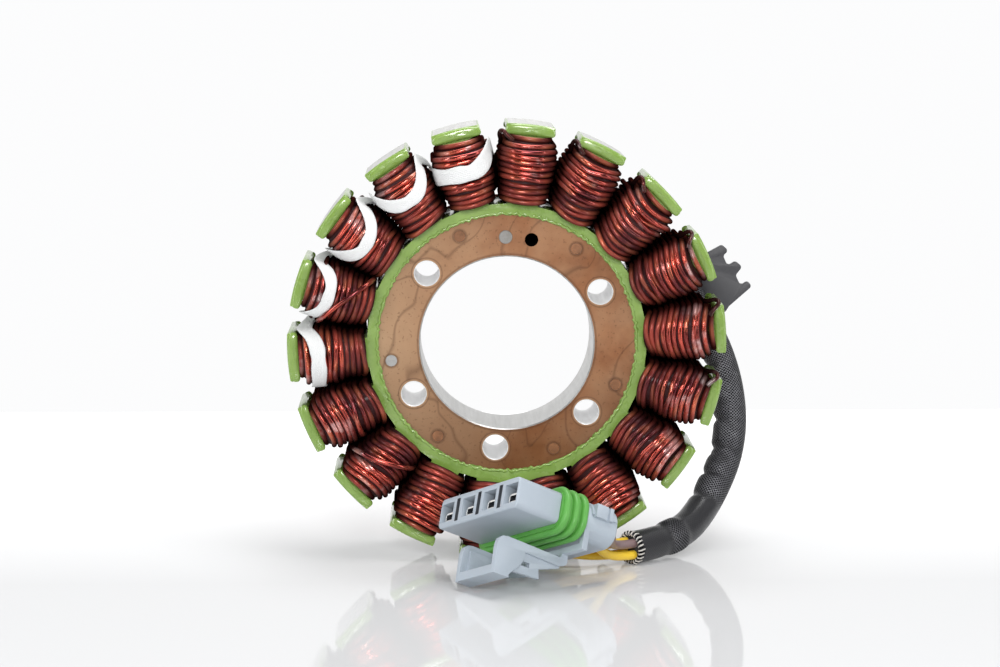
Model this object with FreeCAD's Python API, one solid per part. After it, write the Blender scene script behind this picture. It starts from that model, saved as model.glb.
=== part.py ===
import FreeCAD, Part
import math
import os

V = FreeCAD.Vector

# Wound stator of a small alternator, in millimetres. The axis runs along +Y, away from the
# viewer, +Z is up, and the origin is the middle of the bore on the bare front face.
# It stands on its rim, so the floor is one core radius below the axis.
# Angles go clockwise from the top, as the viewer sees the front face.

# Core of stacked steel sheets
pole_count = 18
first_pole_angle = 6.3
core_radius = 62.0
stack_length = 25.4
bore_radius = 24.5
bore_chamfer = 0.35
yoke_radius = 38.9
tooth_width = 7.5
shoe_width = 12.8
shoe_depth = 2.5
shoe_tip_slope = 0.4
shoe_tip_rounding = 0.9

# Holes and rivets, placed from the first pole
bolt_bore_distance = 5.5
bolt_hole_radius = 3.5
bolt_hole_chamfer = 0.18
bolt_hole_angles = (55, 125, 180, 235, 305)
locating_radius = 1.9
locating_hole_depth = 14.0
locating_hole_angle = 7
locating_pin_angle = -7
rivet_set_back = 3.5
rivet_radius = 1.65
rivet_angles = (30, 105, 150, 210, 255, 330)
rivet_clearance = 0.06
pin_stand_off = 0.15

# Insulating coat over the teeth and the outer part of both faces
coat_thickness = 0.5
coat_edge_set_back = 2.4
coat_rim_rounding = 0.45

# Coils
turns = 12
groove_depth = 0.5
coil_clearance = 0.1
coil_root_gap = 0.47
coil_flank_slope = 0.15
coil_peak_half_width = 8.25
coil_shoulder_radius = 5.2
coil_shoulder_depth = 4.9
coil_flat_half_width = 2.4
coil_end_lift = 1.6
coil_core_step = 0.4

# Wires that join the coils of each phase, round the rear face, the innermost first
crossover_radius = 0.8
crossover_pitch = 1.7
crossover_coil_gap = 0.1
crossover_first_poles = (7, 5, 6)
crossover_pole_steps = 15
crossover_clearance = 0.05

# Lead sleeve, from behind a coil, under the clamp plate and free as far as the connector
sleeve_radius = 4.6
lay_clearance = 0.3
sleeve_start_radius = 52.0
sleeve_start_angle = 60.0
sleeve_first_run = 25.0
sleeve_free_points = [
    (66, 35, -14),
    (67, 27, -33),
    (58.5, 16, -49.5),
    (48.6, 3.1, -57.4),
    (34.6, -8.2, -57.4),
]

# Insulated splices of the phase wires, laid across the rear of the taped coils
splice_radius = 2.1
splice_length = 11.5
splice_set_back = 11.25

# Phase wires behind the yoke, from the sleeve's start to the splices, one level for each
phase_wire_radius = 0.9
phase_pole_numbers = (15, 16, 17, 18)
phase_wire_pitch = 2.1
phase_ring_set_back = 4.1
phase_ring_clearance = 0.45
phase_ring_first_angle = 28.0
phase_ring_step_angle = 15.0
phase_leave_angle = 13.0
phase_elbow_angle = 1.5
phase_elbow_share = 0.28
phase_wire_exit_angle = 8.0
phase_end_gap = 0.2

# Lacing tape round the coils on the left, each band set back from the rim
tape_pole_numbers = (14, 15, 16, 17, 18)
tape_set_backs = (9.4, 9.8, 12.4, 12.4, 12.0)
tape_width = 4.5
tape_thickness = 0.35
tape_clearance = 0.2
tape_corner = 4.0

# Clamp plate over the sleeve, riveted to the rear face
clamp_slot_after_pole = 4
clamp_thickness = 1.5
clamp_foot_length = 7.5
clamp_foot_coat_gap = 2.2
clamp_foot_half_width = 3.0
clamp_neck_half_width = 2.0
clamp_rivet_radius = 1.5
clamp_rivet_set_back = 4.7
clamp_rivet_depth = 6.0
clamp_rivet_head_radius = 2.3
clamp_rivet_head_height = 0.9
clamp_bend = 0.6
clamp_corner = 1.0
clamp_head_overlap = 2.0
clamp_neck_gap = 2.0
clamp_head_outline = [
    (56.5, -4.6),
    (65.1, -6.7),
    (68.4, -7.6),
    (70.0, -5.4),
    (68.0, -4.4),
    (68.6, -1.1),
    (71.2, -1.9),
    (72.8, 0.2),
    (70.3, 2.2),
    (71.0, 5.6),
    (73.4, 4.6),
    (74.2, 6.6),
    (66.2, 10.8),
    (64.6, 12.4),
    (56.5, 7.6),
]

# Connector, in its own axes: backwards, across and down, from the middle of its front face
connector_origin = V(-8.6, -38.4, -38.5)
connector_backwards = V(0.803, 0.441, -0.400)
connector_across = V(0.574, -0.752, 0.324)
block_depth = 14.2
block_half_width = 18.2
block_half_height = 4.4
block_corner = 1.6
block_edge = 0.5
way_count = 4
way_pitch = 9.8
cavity_width = 5.6
cavity_height = 5.4
cavity_depth = 12.0
slot_width = 1.3
slot_height = 6.4
slot_depth = 9.0
neck_half_width = 16.2
neck_half_height = 2.9
neck_corner = 1.6
seal_end = 23.3
seal_ribs = 3
seal_rib_height = 1.3
seal_base = 2.7
seal_corner = 4.2
seal_rib_share = 0.7
seal_clearance = 0.1
hood_end = 34.4
hood_half_width = 18.0
hood_half_height = 5.2
hood_corner = 4.6
hood_wall = 1.5
hood_floor = 2.6
hood_edge = 0.9
hood_lip_height = 3.6
hood_lip_reach = 0.6
hood_lip_start = 25.0
lug_start = 25.6
lug_end = 31.2
lug_top = 4.6
lug_bottom = 0.9
lug_reach = 1.4
lug_notch_start = 29.3
lug_notch_width = 0.8

# Latch under the connector, its side outlines given as backwards and down
latch_outer = 8.8
latch_plate_thickness = 1.5
latch_recess = 0.8
latch_web_thickness = 1.2
latch_plate_outline = [
    (2.4, 20.4),
    (2.2, 12.6),
    (2.6, 10.7),
    (3.7, 9.7),
    (5.3, 9.4),
    (23.2, 9.8),
    (23.8, 8.3),
    (25.5, 8.3),
    (25.8, 10.5),
    (25.3, 11.5),
    (23.2, 12.3),
    (11.7, 12.0),
    (11.5, 14.3),
    (10.4, 16.3),
    (8.6, 18.1),
    (7.2, 19.7),
    (5.2, 20.4),
]
latch_web_outline = [
    (4.5, 11.0),
    (23.6, 11.4),
    (24.0, 12.6),
    (17.2, 15.0),
    (9.3, 18.0),
    (4.5, 18.0),
]
latch_flap_outline = [
    (9.0, 14.0),
    (17.0, 14.0),
    (17.8, 17.6),
    (9.0, 18.0),
]
latch_window = (11.4, 14.1, 14.3, 15.6)
latch_bar_start = 2.4
latch_bar_end = 7.4
latch_bar_top = 17.9
latch_bar_bottom = 20.4
strap_start = 23.7
strap_end = 25.5
strap_top = 6.9
strap_bottom = 8.7
strap_half_width = 17.4
strap_foot = 1.6
strap_foot_top = 2.2

# Contacts and wires
contact_width = 4.2
contact_height = 2.6
contact_wall = 0.5
contact_length = 8.0
contact_set_back = 1.2
contact_drop = 1.0
wire_radius = 1.3
wire_first_run = 9.5
wire_last_run = 9.5
wire_circle_radius = 2.3

bolt_circle_radius = bore_radius + bolt_bore_distance
coat_edge_radius = yoke_radius - coat_edge_set_back
rivet_circle_radius = coat_edge_radius - rivet_set_back
clamp_foot_end = coat_edge_radius - clamp_foot_coat_gap
clamp_foot_start = clamp_foot_end - clamp_foot_length
clamp_rivet_circle_radius = clamp_foot_end - clamp_rivet_set_back
coat_yoke_radius = yoke_radius + coat_thickness
shoe_start = core_radius - shoe_depth
tooth_half = tooth_width / 2
coated_tooth_half = tooth_half + coat_thickness
coil_bottom = coat_yoke_radius / math.cos(math.pi / pole_count) + coil_clearance
coil_top = shoe_start - coat_thickness - coil_clearance
turn_pitch = (coil_top - coil_bottom) / turns
coil_root_half_width = coil_bottom * math.tan(math.pi / pole_count) - coil_root_gap
coil_shoulder_start = coil_top - coil_shoulder_depth
coil_hole_half = coated_tooth_half + coil_clearance
coil_hole_front = -coat_thickness - coil_clearance
coil_hole_rear = stack_length + coat_thickness + coil_clearance
coil_corner_front = coil_hole_front - coil_end_lift + coil_hole_half - coil_flat_half_width
coil_corner_rear = coil_hole_rear + coil_end_lift - coil_hole_half + coil_flat_half_width
coil_rear = coil_corner_rear + coil_peak_half_width - coil_flat_half_width
sleeve_y = coil_rear + lay_clearance + sleeve_radius
splice_y = coil_rear + lay_clearance + splice_radius
splice_inner_end = core_radius - splice_set_back - splice_length / 2
crossover_y = stack_length + coat_thickness + crossover_clearance + crossover_radius
crossover_outer_ring = coil_bottom - crossover_coil_gap - crossover_radius
phase_ring_radius = coil_bottom - phase_ring_set_back
phase_elbow_radius = phase_ring_radius + phase_elbow_share * (splice_inner_end - phase_ring_radius)
phase_ring_y = crossover_y + crossover_radius + phase_ring_clearance + phase_wire_radius
clamp_y = sleeve_y + sleeve_radius + lay_clearance


def pole_angle(number):
    return first_pole_angle + 360 / pole_count * (number - 1)


def turned(shape, angle):
    """Turn a shape made at the top round the axis, clockwise as seen from the front."""
    copy = shape.copy()
    copy.rotate(V(0, 0, 0), V(0, 1, 0), angle)
    return copy


def on_circle(radius, angle, y=0.0):
    turn = math.radians(angle)
    return V(radius * math.sin(turn), y, radius * math.cos(turn))


def face_from(points):
    return Part.Face(Part.makePolygon(points + points[:1]))


def drilled(radius, start, end, circle_radius=0.0, angle=0.0):
    """A cylinder along the axis, for a hole or a rivet."""
    return Part.makeCylinder(radius, end - start, on_circle(circle_radius, angle, start), V(0, 1, 0))


def chamfered_hole(radius, chamfer, circle_radius=0.0, angle=0.0):
    tool = drilled(radius, -1, stack_length + 1, circle_radius, angle)
    front = on_circle(circle_radius, angle, -chamfer)
    rear = on_circle(circle_radius, angle, stack_length - chamfer)
    wide = radius + 2 * chamfer
    near = Part.makeCone(wide, radius, 2 * chamfer, front, V(0, 1, 0))
    far = Part.makeCone(radius, wide, 2 * chamfer, rear, V(0, 1, 0))
    return tool.fuse([near, far])


# The core and its coat
def yoke_prism(radius, start, end):
    """The yoke's outside, with a flat at the bottom of each slot."""
    corner = radius / math.cos(math.pi / pole_count)
    points = [on_circle(corner, pole_angle(n), start) for n in range(1, pole_count + 1)]
    return face_from(points).extrude(V(0, end - start, 0))


def pole_prism(half, shoe_half, shoe_z, start, end):
    """One tooth with its shoe, at the top. The shoe's outside is part of the rim."""
    rim_z = math.sqrt(core_radius**2 - shoe_half**2)
    low = yoke_radius / 2
    left = [
        V(-half, start, low),
        V(-half, start, shoe_z),
        V(-shoe_half, start, shoe_z + shoe_tip_slope),
        V(-shoe_half, start, rim_z),
    ]
    right = [V(-p.x, p.y, p.z) for p in reversed(left)]
    rim = Part.Arc(left[-1], V(0, start, core_radius), right[0]).toShape()
    wire = Part.Wire([Part.makePolygon(left), rim, Part.makePolygon(right + left[:1])])
    return Part.Face(wire).extrude(V(0, end - start, 0))


def long_edges(shape, x, z_from, z_to):
    """The edges along the axis at a distance from the tooth's middle, between two heights."""
    found = []
    for edge in shape.Edges:
        middle = edge.BoundBox.Center
        along = edge.BoundBox.YLength > stack_length / 2
        if along and abs(abs(middle.x) - x) < 0.01 and z_from < middle.z < z_to:
            found.append(edge)
    return found


def rounded_pole(half, shoe_half, shoe_z, start, end, rounding):
    """A tooth and shoe whose inner tips are round."""
    pole = pole_prism(half, shoe_half, shoe_z, start, end)
    return pole.makeFillet(rounding, long_edges(pole, shoe_half, shoe_z - 1, shoe_z + 1))


def all_poles(pole):
    return [turned(pole, pole_angle(n)) for n in range(1, pole_count + 1)]


def core_blank():
    pole = rounded_pole(tooth_half, shoe_width / 2, shoe_start, 0, stack_length, shoe_tip_rounding)
    yoke = yoke_prism(yoke_radius, 0, stack_length)
    return yoke.fuse(all_poles(pole)).removeSplitter()


def bolt_holes():
    angles = [first_pole_angle + angle for angle in bolt_hole_angles]
    return [chamfered_hole(bolt_hole_radius, bolt_hole_chamfer, bolt_circle_radius, a) for a in angles]


def core_with_holes(blank):
    first = first_pole_angle
    tools = [chamfered_hole(bore_radius, bore_chamfer)] + bolt_holes()
    tools.append(
        drilled(locating_radius, -1, locating_hole_depth, bolt_circle_radius, first + locating_hole_angle)
    )
    tools.append(
        drilled(locating_radius, -1, stack_length + 1, bolt_circle_radius, first + locating_pin_angle)
    )
    for angle in rivet_angles:
        hole = drilled(rivet_radius, -1, stack_length + 1, rivet_circle_radius, first + angle)
        tools.append(hole)
    blind_start = stack_length - clamp_rivet_depth
    tools.append(
        drilled(clamp_rivet_radius, blind_start, stack_length + 1, clamp_rivet_circle_radius, clamp_angle())
    )
    return blank.cut(tools)


def epoxy_coat(blank):
    """A shell of even thickness round the teeth, open on the rim and inside the coat's edge."""
    start = -coat_thickness
    end = stack_length + coat_thickness
    shoe_half = shoe_width / 2 + coat_thickness
    under = shoe_start - coat_thickness
    pole = rounded_pole(coated_tooth_half, shoe_half, under, start, end, shoe_tip_rounding + coat_thickness)
    pole = pole.makeFillet(coat_rim_rounding, long_edges(pole, shoe_half, under + 1, core_radius))
    outside = yoke_prism(coat_yoke_radius, start, end).fuse(all_poles(pole))
    bare_middle = drilled(coat_edge_radius, start - 1, end + 1)
    return outside.cut([blank, bare_middle] + bolt_holes()).removeSplitter()


def core_rivets():
    rivet = rivet_radius - rivet_clearance
    angles = [first_pole_angle + angle for angle in rivet_angles]
    return Part.makeCompound([drilled(rivet, 0, stack_length, rivet_circle_radius, a) for a in angles])


def locating_pin():
    angle = first_pole_angle + locating_pin_angle
    radius = locating_radius - rivet_clearance
    return drilled(radius, -pin_stand_off, stack_length, bolt_circle_radius, angle)


# The coils
def crest_half_width(z):
    """Half the coil's width at a height along the tooth: a taper, then a round shoulder."""
    half = min(coil_root_half_width + coil_flank_slope * (z - coil_bottom), coil_peak_half_width)
    past = z - coil_shoulder_start
    if past > 0:
        reach = min(past, 0.95 * coil_shoulder_radius)
        half -= coil_shoulder_radius - math.sqrt(coil_shoulder_radius**2 - reach**2)
    return half


def turn_profile():
    """A section through one side of the coil: round turns outside, straight inside."""
    crests = [crest_half_width(coil_bottom + turn_pitch * (n + 0.5)) for n in range(turns)]
    valleys = [crests[0]] + [min(a, b) for a, b in zip(crests, crests[1:])] + [crests[-1]]
    y = coil_corner_front
    edges = []
    for n in range(turns):
        low = coil_bottom + turn_pitch * n
        start = V(valleys[n] - groove_depth, y, low)
        middle = V(crests[n], y, low + turn_pitch / 2)
        end = V(valleys[n + 1] - groove_depth, y, low + turn_pitch)
        edges.append(Part.Arc(start, middle, end).toShape())
    inside = coil_flat_half_width + coil_core_step
    top = edges[-1].Vertexes[-1].Point
    bottom = edges[0].Vertexes[0].Point
    rest = [top, V(inside, y, coil_top), V(inside, y, coil_bottom), bottom]
    return Part.Wire(edges + [Part.makePolygon(rest)])


def rounded_loop(half_width, front, rear, corner, z):
    """A closed loop in a level plane, with its first straight side at +X."""
    flat = half_width - corner
    near = front + corner
    far = rear - corner
    bulge = corner * math.sqrt(0.5)
    stops = [
        (V(half_width, near, z), V(half_width, far, z), V(flat + bulge, far + bulge, z)),
        (V(flat, rear, z), V(-flat, rear, z), V(-flat - bulge, far + bulge, z)),
        (V(-half_width, far, z), V(-half_width, near, z), V(-flat - bulge, near - bulge, z)),
        (V(-flat, front, z), V(flat, front, z), V(flat + bulge, near - bulge, z)),
    ]
    edges = []
    for (start, end, middle), (after, _, _) in zip(stops, stops[1:] + stops[:1]):
        edges.append(Part.makeLine(start, end))
        edges.append(Part.Arc(end, middle, after).toShape())
    return Part.Wire(edges)


def coil():
    """One coil at the top: its turns swept round the tooth, filled in to the coat."""
    corner = coil_core_step
    front = coil_corner_front - corner
    rear = coil_corner_rear + corner
    path = rounded_loop(coil_flat_half_width + corner, front, rear, corner, coil_bottom)
    swept = path.makePipeShell([turn_profile()], True, False)
    inner = 2 * coil_core_step
    wide = 2 * (coil_flat_half_width + inner)
    deep = coil_corner_rear - coil_corner_front + 2 * inner
    low = V(-wide / 2, coil_corner_front - inner, coil_bottom)
    middle = Part.makeBox(wide, deep, coil_top - coil_bottom, low)
    hole_low = V(-coil_hole_half, coil_hole_front, coil_bottom - 1)
    hole_deep = coil_hole_rear - coil_hole_front
    hole = Part.makeBox(2 * coil_hole_half, hole_deep, coil_top - coil_bottom + 2, hole_low)
    return swept.fuse(middle).cut(hole).removeSplitter()


def crossover(index):
    """A wire round the rear face, from the first coil of its phase to the last."""
    ring_radius = crossover_outer_ring - crossover_pitch * (len(crossover_first_poles) - 1 - index)
    start = on_circle(ring_radius, pole_angle(crossover_first_poles[index]), crossover_y)
    disc = Part.Face(Part.Wire(Part.makeCircle(crossover_radius, start, start.cross(V(0, 1, 0)))))
    return disc.revolve(V(0, 0, 0), V(0, 1, 0), 360 / pole_count * crossover_pole_steps)


# The splices, the tape, the sleeve and its clamp
def splices():
    """One short insulated joint behind each taped coil, along the tooth."""
    start = V(0, splice_y, splice_inner_end)
    joint = Part.makeCylinder(splice_radius, splice_length, start, V(0, 0, 1))
    joint = joint.makeFillet(splice_radius / 2, [e for e in joint.Edges if e.BoundBox.ZLength < 0.01])
    return Part.makeCompound([turned(joint, pole_angle(n)) for n in tape_pole_numbers])


def tape_loop(radius):
    """A band round one coil and the splice behind it, at the top, tapered with the coil's flank."""
    walls = []
    for out in (tape_clearance + tape_thickness, tape_clearance):
        sections = []
        for z in (radius - tape_width / 2, radius + tape_width / 2):
            widest = max(crest_half_width(z), crest_half_width(radius))
            reach = widest if z > radius else crest_half_width(z)
            half = reach + out
            front = coil_corner_front - (reach - coil_flat_half_width) - out
            rear = splice_y + splice_radius + out
            sections.append(rounded_loop(half, front, rear, tape_corner, z))
        walls.append(Part.makeLoft(sections, True, True))
    return walls[0].cut(walls[1])


def tube(points, radius, name):
    """Straight runs joined by tangent arcs, each arc as wide as the shorter run beside it lets it be."""
    runs = [b - a for a, b in zip(points, points[1:])]
    edges = []
    radii = []
    last = points[0]
    for before, corner, after in zip(runs, points[1:-1], runs[1:]):
        half_turn = before.getAngle(after) / 2
        cut_back = 0.45 * min(before.Length, after.Length)
        bend = cut_back / math.tan(half_turn)
        radii.append(round(bend, 1))
        into = corner - before * (cut_back / before.Length)
        out = corner + after * (cut_back / after.Length)
        sideways = (into + out) * 0.5 - corner
        depth = bend * (1 / math.cos(half_turn) - 1)
        middle = corner + sideways * (depth / sideways.Length)
        edges.append(Part.makeLine(last, into))
        edges.append(Part.Arc(into, middle, out).toShape())
        last = out
    edges.append(Part.makeLine(last, points[-1]))
    path = Part.Wire(edges)
    disc = Part.Wire(Part.makeCircle(radius, points[0], points[1] - points[0]))
    swept = path.makePipeShell([disc], True, False)
    share = swept.Volume / (math.pi * radius**2 * path.Length)
    print(name, "length", round(path.Length, 1), "radii", radii, "volume share", round(share, 4))
    return swept


def sleeve_points():
    start = on_circle(sleeve_start_radius, sleeve_start_angle, sleeve_y)
    second = start + on_circle(sleeve_first_run, sleeve_start_angle + 90)
    return [start, second] + [V(*p) for p in sleeve_free_points]


def phase_wire_points(index):
    """Out of the sleeve's start, down to the ring behind the yoke, round it and out to a splice."""
    step = index * phase_wire_pitch
    high = sleeve_y - (len(phase_pole_numbers) - 1) * phase_wire_pitch / 2 + step
    low = phase_ring_y + step
    target = pole_angle(phase_pole_numbers[index] - pole_count)
    lead_out = phase_wire_exit_angle
    leave_radius = sleeve_start_radius / math.cos(math.radians(lead_out))
    points = [
        on_circle(sleeve_start_radius, sleeve_start_angle, high),
        on_circle(leave_radius, sleeve_start_angle - lead_out, high),
        on_circle(phase_elbow_radius, (sleeve_start_angle - lead_out + phase_ring_first_angle) / 2, high),
    ]
    sweep = phase_ring_first_angle - target - phase_leave_angle
    count = max(1, math.ceil(sweep / phase_ring_step_angle))
    for n in range(count + 1):
        points.append(on_circle(phase_ring_radius, phase_ring_first_angle - sweep * n / count, low))
    points.append(on_circle(phase_elbow_radius, target + phase_elbow_angle, splice_y))
    points.append(on_circle(splice_inner_end - phase_end_gap, target, splice_y))
    return points


def clamp_angle():
    return pole_angle(clamp_slot_after_pole + 0.5)


def clamp_plate():
    """A foot on the rear face, a riser past the coils' inner ends, and a hooked head over the sleeve."""
    y = clamp_y
    t = clamp_thickness
    neck_end = clamp_head_outline[0][0] + clamp_head_overlap
    side = [
        V(0, stack_length, clamp_foot_start),
        V(0, stack_length, clamp_foot_end),
        V(0, y, clamp_foot_end),
        V(0, y, neck_end),
        V(0, y + t, neck_end),
        V(0, y + t, clamp_foot_end - t),
        V(0, stack_length + t, clamp_foot_end - t),
        V(0, stack_length + t, clamp_foot_start),
    ]
    strip = face_from(side).extrude(V(2 * clamp_foot_half_width, 0, 0))
    strip.translate(V(-clamp_foot_half_width, 0, 0))
    bends = [e for e in strip.Edges if abs(e.BoundBox.XLength - 2 * clamp_foot_half_width) < 0.01]
    strip = strip.makeFillet(
        clamp_bend, [e for e in bends if abs(e.BoundBox.Center.z - clamp_foot_end + t) < 0.01]
    )
    slim = Part.makeBox(
        clamp_foot_half_width, t + 2, clamp_head_outline[0][0] - clamp_foot_end - 2 * clamp_neck_gap,
        V(clamp_neck_half_width, y - 1, clamp_foot_end + clamp_neck_gap),
    )
    other = slim.mirror(V(0, 0, 0), V(1, 0, 0))
    head = face_from([V(x, y, z) for z, x in clamp_head_outline]).extrude(V(0, t, 0))
    corners = [e for e in head.Edges if abs(e.BoundBox.YLength - t) < 0.01]
    head = head.makeFillet(clamp_corner, corners)
    hole = Part.makeCylinder(
        clamp_rivet_radius, t + 2, V(0, stack_length - 1, clamp_rivet_circle_radius), V(0, 1, 0)
    )
    plate = strip.cut([slim, other, hole]).fuse(head).removeSplitter()
    return turned(plate, clamp_angle())


def clamp_rivet():
    base = V(0, stack_length - clamp_rivet_depth, clamp_rivet_circle_radius)
    seat = stack_length + clamp_thickness
    radius = clamp_rivet_radius - rivet_clearance
    shank = Part.makeCylinder(radius, seat - base.y + clamp_rivet_head_height / 2, base, V(0, 1, 0))
    middle = V(0, seat, clamp_rivet_circle_radius)
    head = Part.makeCylinder(clamp_rivet_head_radius, clamp_rivet_head_height, middle, V(0, 1, 0))
    rim = [e for e in head.Edges if e.BoundBox.Center.y > seat + clamp_rivet_head_height / 2]
    head = head.makeFillet(clamp_rivet_head_height / 2, rim)
    return turned(shank.fuse(head).removeSplitter(), clamp_angle())


# The connector
def connector_placement():
    """From the connector's own axes to the row's."""
    x = V(connector_backwards).normalize()
    z = x.cross(connector_across).normalize()
    y = z.cross(x)
    o = connector_origin
    return FreeCAD.Matrix(x.x, y.x, z.x, o.x, x.y, y.y, z.y, o.y, x.z, y.z, z.z, o.z, 0, 0, 0, 1)


def moved(shape):
    copy = shape.copy()
    copy.Placement = FreeCAD.Placement(connector_placement())
    return copy


def rounded_bar(start, end, half_width, half_height, corner):
    """A bar along the middle of the connector, with rounded long edges."""
    low = V(start, -half_width, -half_height)
    bar = Part.makeBox(end - start, 2 * half_width, 2 * half_height, low)
    edges = [e for e in bar.Edges if abs(e.BoundBox.XLength - (end - start)) < 0.01]
    return bar.makeFillet(corner, edges)


def way_places():
    return [way_pitch * (n - (way_count - 1) / 2) for n in range(way_count)]


def connector_housing():
    block = rounded_bar(0, block_depth, block_half_width, block_half_height, block_corner)
    front = [e for e in block.Edges if e.BoundBox.XMax < 0.01]
    block = block.makeFillet(block_edge, front)
    neck = rounded_bar(block_depth - 1, seal_end + 1, neck_half_width, neck_half_height, neck_corner)
    hood = rounded_bar(seal_end, hood_end, hood_half_width, hood_half_height, hood_corner)
    hood = hood.makeFillet(hood_edge, [e for e in hood.Edges if e.BoundBox.XMin > hood_end - 0.01])
    inside = rounded_bar(
        seal_end + hood_floor, hood_end + 1, hood_half_width - hood_wall, hood_half_height - hood_wall,
        hood_corner - hood_wall,
    )
    housing = block.fuse([neck, hood, hood_lip()] + hood_lugs()).fuse(latch()).cut(inside)
    tools = []
    for v in way_places():
        low = V(-1, v - cavity_width / 2, -cavity_height / 2)
        tools.append(Part.makeBox(cavity_depth + 1, cavity_width, cavity_height, low))
    for v in way_places()[:-1]:
        low = V(-1, v + way_pitch / 2 - slot_width / 2, -slot_height / 2)
        tools.append(Part.makeBox(slot_depth + 1, slot_width, slot_height, low))
    return moved(housing.cut(tools).removeSplitter())


def hood_lip():
    """A band that stands out round the upper half of the hood."""
    wide = 2 * (hood_half_width + hood_lip_reach)
    lip = rounded_bar(
        hood_lip_start, hood_end - hood_edge, wide / 2, hood_half_height + hood_lip_reach,
        hood_corner + hood_lip_reach,
    )
    low = V(hood_lip_start - 1, -wide, hood_lip_height - hood_half_height)
    return lip.cut(Part.makeBox(hood_end, 2 * wide, 4 * hood_half_height, low))


def hood_lugs():
    """A notched lug on each side of the hood."""
    lugs = []
    for side in (-1, 1):
        reach = hood_half_width + lug_reach
        low = V(lug_start, min(side * reach, 0), -lug_top)
        lug = Part.makeBox(lug_end - lug_start, reach, lug_top - lug_bottom, low)
        notch_low = V(lug_notch_start, side * (reach + hood_half_width) / 2 - lug_reach / 2, -lug_top - 1)
        notch = Part.makeBox(lug_notch_width, lug_reach, lug_top - lug_bottom + 2, notch_low)
        notch.translate(V(0, side * lug_reach / 2, 0))
        lugs.append(lug.cut(notch))
    return lugs


def latch_side(outline, outer, thickness):
    """A flat piece on the near side, its outer face at a distance from the middle."""
    return face_from([V(u, outer, w) for u, w in outline]).extrude(V(0, -thickness, 0))


def latch():
    """Two plates under the block, a thumb bar in front, and a strap behind hung from the hood's sides."""
    plate = latch_side(latch_plate_outline, latch_outer, latch_plate_thickness)
    web = latch_side(latch_web_outline, latch_outer - latch_recess, latch_web_thickness)
    flap = latch_side(latch_flap_outline, latch_outer - latch_recess, latch_web_thickness)
    far = [piece.mirror(V(0, 0, 0), V(0, 1, 0)) for piece in (plate, web)]
    bar = Part.makeBox(
        latch_bar_end - latch_bar_start, 2 * latch_outer, latch_bar_bottom - latch_bar_top,
        V(latch_bar_start, -latch_outer, latch_bar_top),
    )
    strap = Part.makeBox(
        strap_end - strap_start, 2 * strap_half_width, strap_bottom - strap_top,
        V(strap_start, -strap_half_width, strap_top),
    )
    feet = []
    for v in (-strap_half_width, strap_half_width - strap_foot):
        low = V(strap_start, v, strap_foot_top)
        feet.append(Part.makeBox(strap_end - strap_start, strap_foot, strap_bottom - low.z, low))
    start, end, top, bottom = latch_window
    window = Part.makeBox(end - start, 4 * latch_outer, bottom - top, V(start, -2 * latch_outer, top))
    return plate.fuse([web, flap, bar, strap] + far + feet).cut(window)


def connector_seal():
    """A rubber ring on the neck, with round ribs outside."""
    length = seal_end - block_depth - 2 * seal_clearance
    start = block_depth + seal_clearance
    pitch = length / seal_ribs
    base = round_neck(start, start + length, seal_base, seal_corner)
    ribs = []
    for n in range(seal_ribs):
        middle = start + pitch * (n + 0.5)
        half = pitch * seal_rib_share / 2
        reach = seal_base + seal_rib_height
        rib = round_neck(middle - half, middle + half, reach, seal_corner + seal_rib_height)
        ends = [e for e in rib.Edges if e.BoundBox.XLength < 0.01]
        ribs.append(rib.makeFillet(0.95 * half, ends))
    hole = round_neck(start - 1, start + length + 1, seal_clearance, neck_corner + seal_clearance)
    return moved(base.fuse(ribs).cut(hole).removeSplitter())


def round_neck(start, end, away, corner):
    """A bar with the neck's section, grown by a distance."""
    return rounded_bar(start, end, neck_half_width + away, neck_half_height + away, corner)


def contact(v):
    """A folded receptacle contact in its cavity, open towards the mating blade."""
    low = V(contact_set_back, v - contact_width / 2, contact_drop - contact_height / 2)
    shell = Part.makeBox(cavity_depth - contact_set_back, contact_width, contact_height, low)
    edges = [e for e in shell.Edges if e.BoundBox.XLength > contact_length]
    shell = shell.makeFillet(2 * contact_wall, edges)
    inner_low = low + V(-1, contact_wall, contact_wall)
    inner = Part.makeBox(
        contact_length, contact_width - 2 * contact_wall, contact_height - 2 * contact_wall, inner_low
    )
    return moved(shell.cut(inner))


def wire_points(index):
    """From the floor of the connector's hood into the sleeve's mouth."""
    place = connector_placement()
    v = way_places()[index]
    start = place.multVec(V(seal_end + hood_floor, v, 0))
    second = place.multVec(V(seal_end + hood_floor + wire_first_run, v, 0))
    mouth = V(*sleeve_free_points[-1])
    inward = (V(*sleeve_free_points[-2]) - mouth).normalize()
    across = inward.cross(V(0, 0, 1)).normalize()
    up = across.cross(inward)
    side = 1 if index >= way_count / 2 else -1
    level = 1 if index % 2 else -1
    end = mouth + (across * side + up * level) * (wire_circle_radius / math.sqrt(2))
    return [start, second, end - inward * wire_last_run, end]


def save(name, shape):
    shape.exportStep("parts/" + name + ".step")
    print(name, "solids", len(shape.Solids), "valid", shape.isValid(), "volume", round(shape.Volume, 1))


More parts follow.
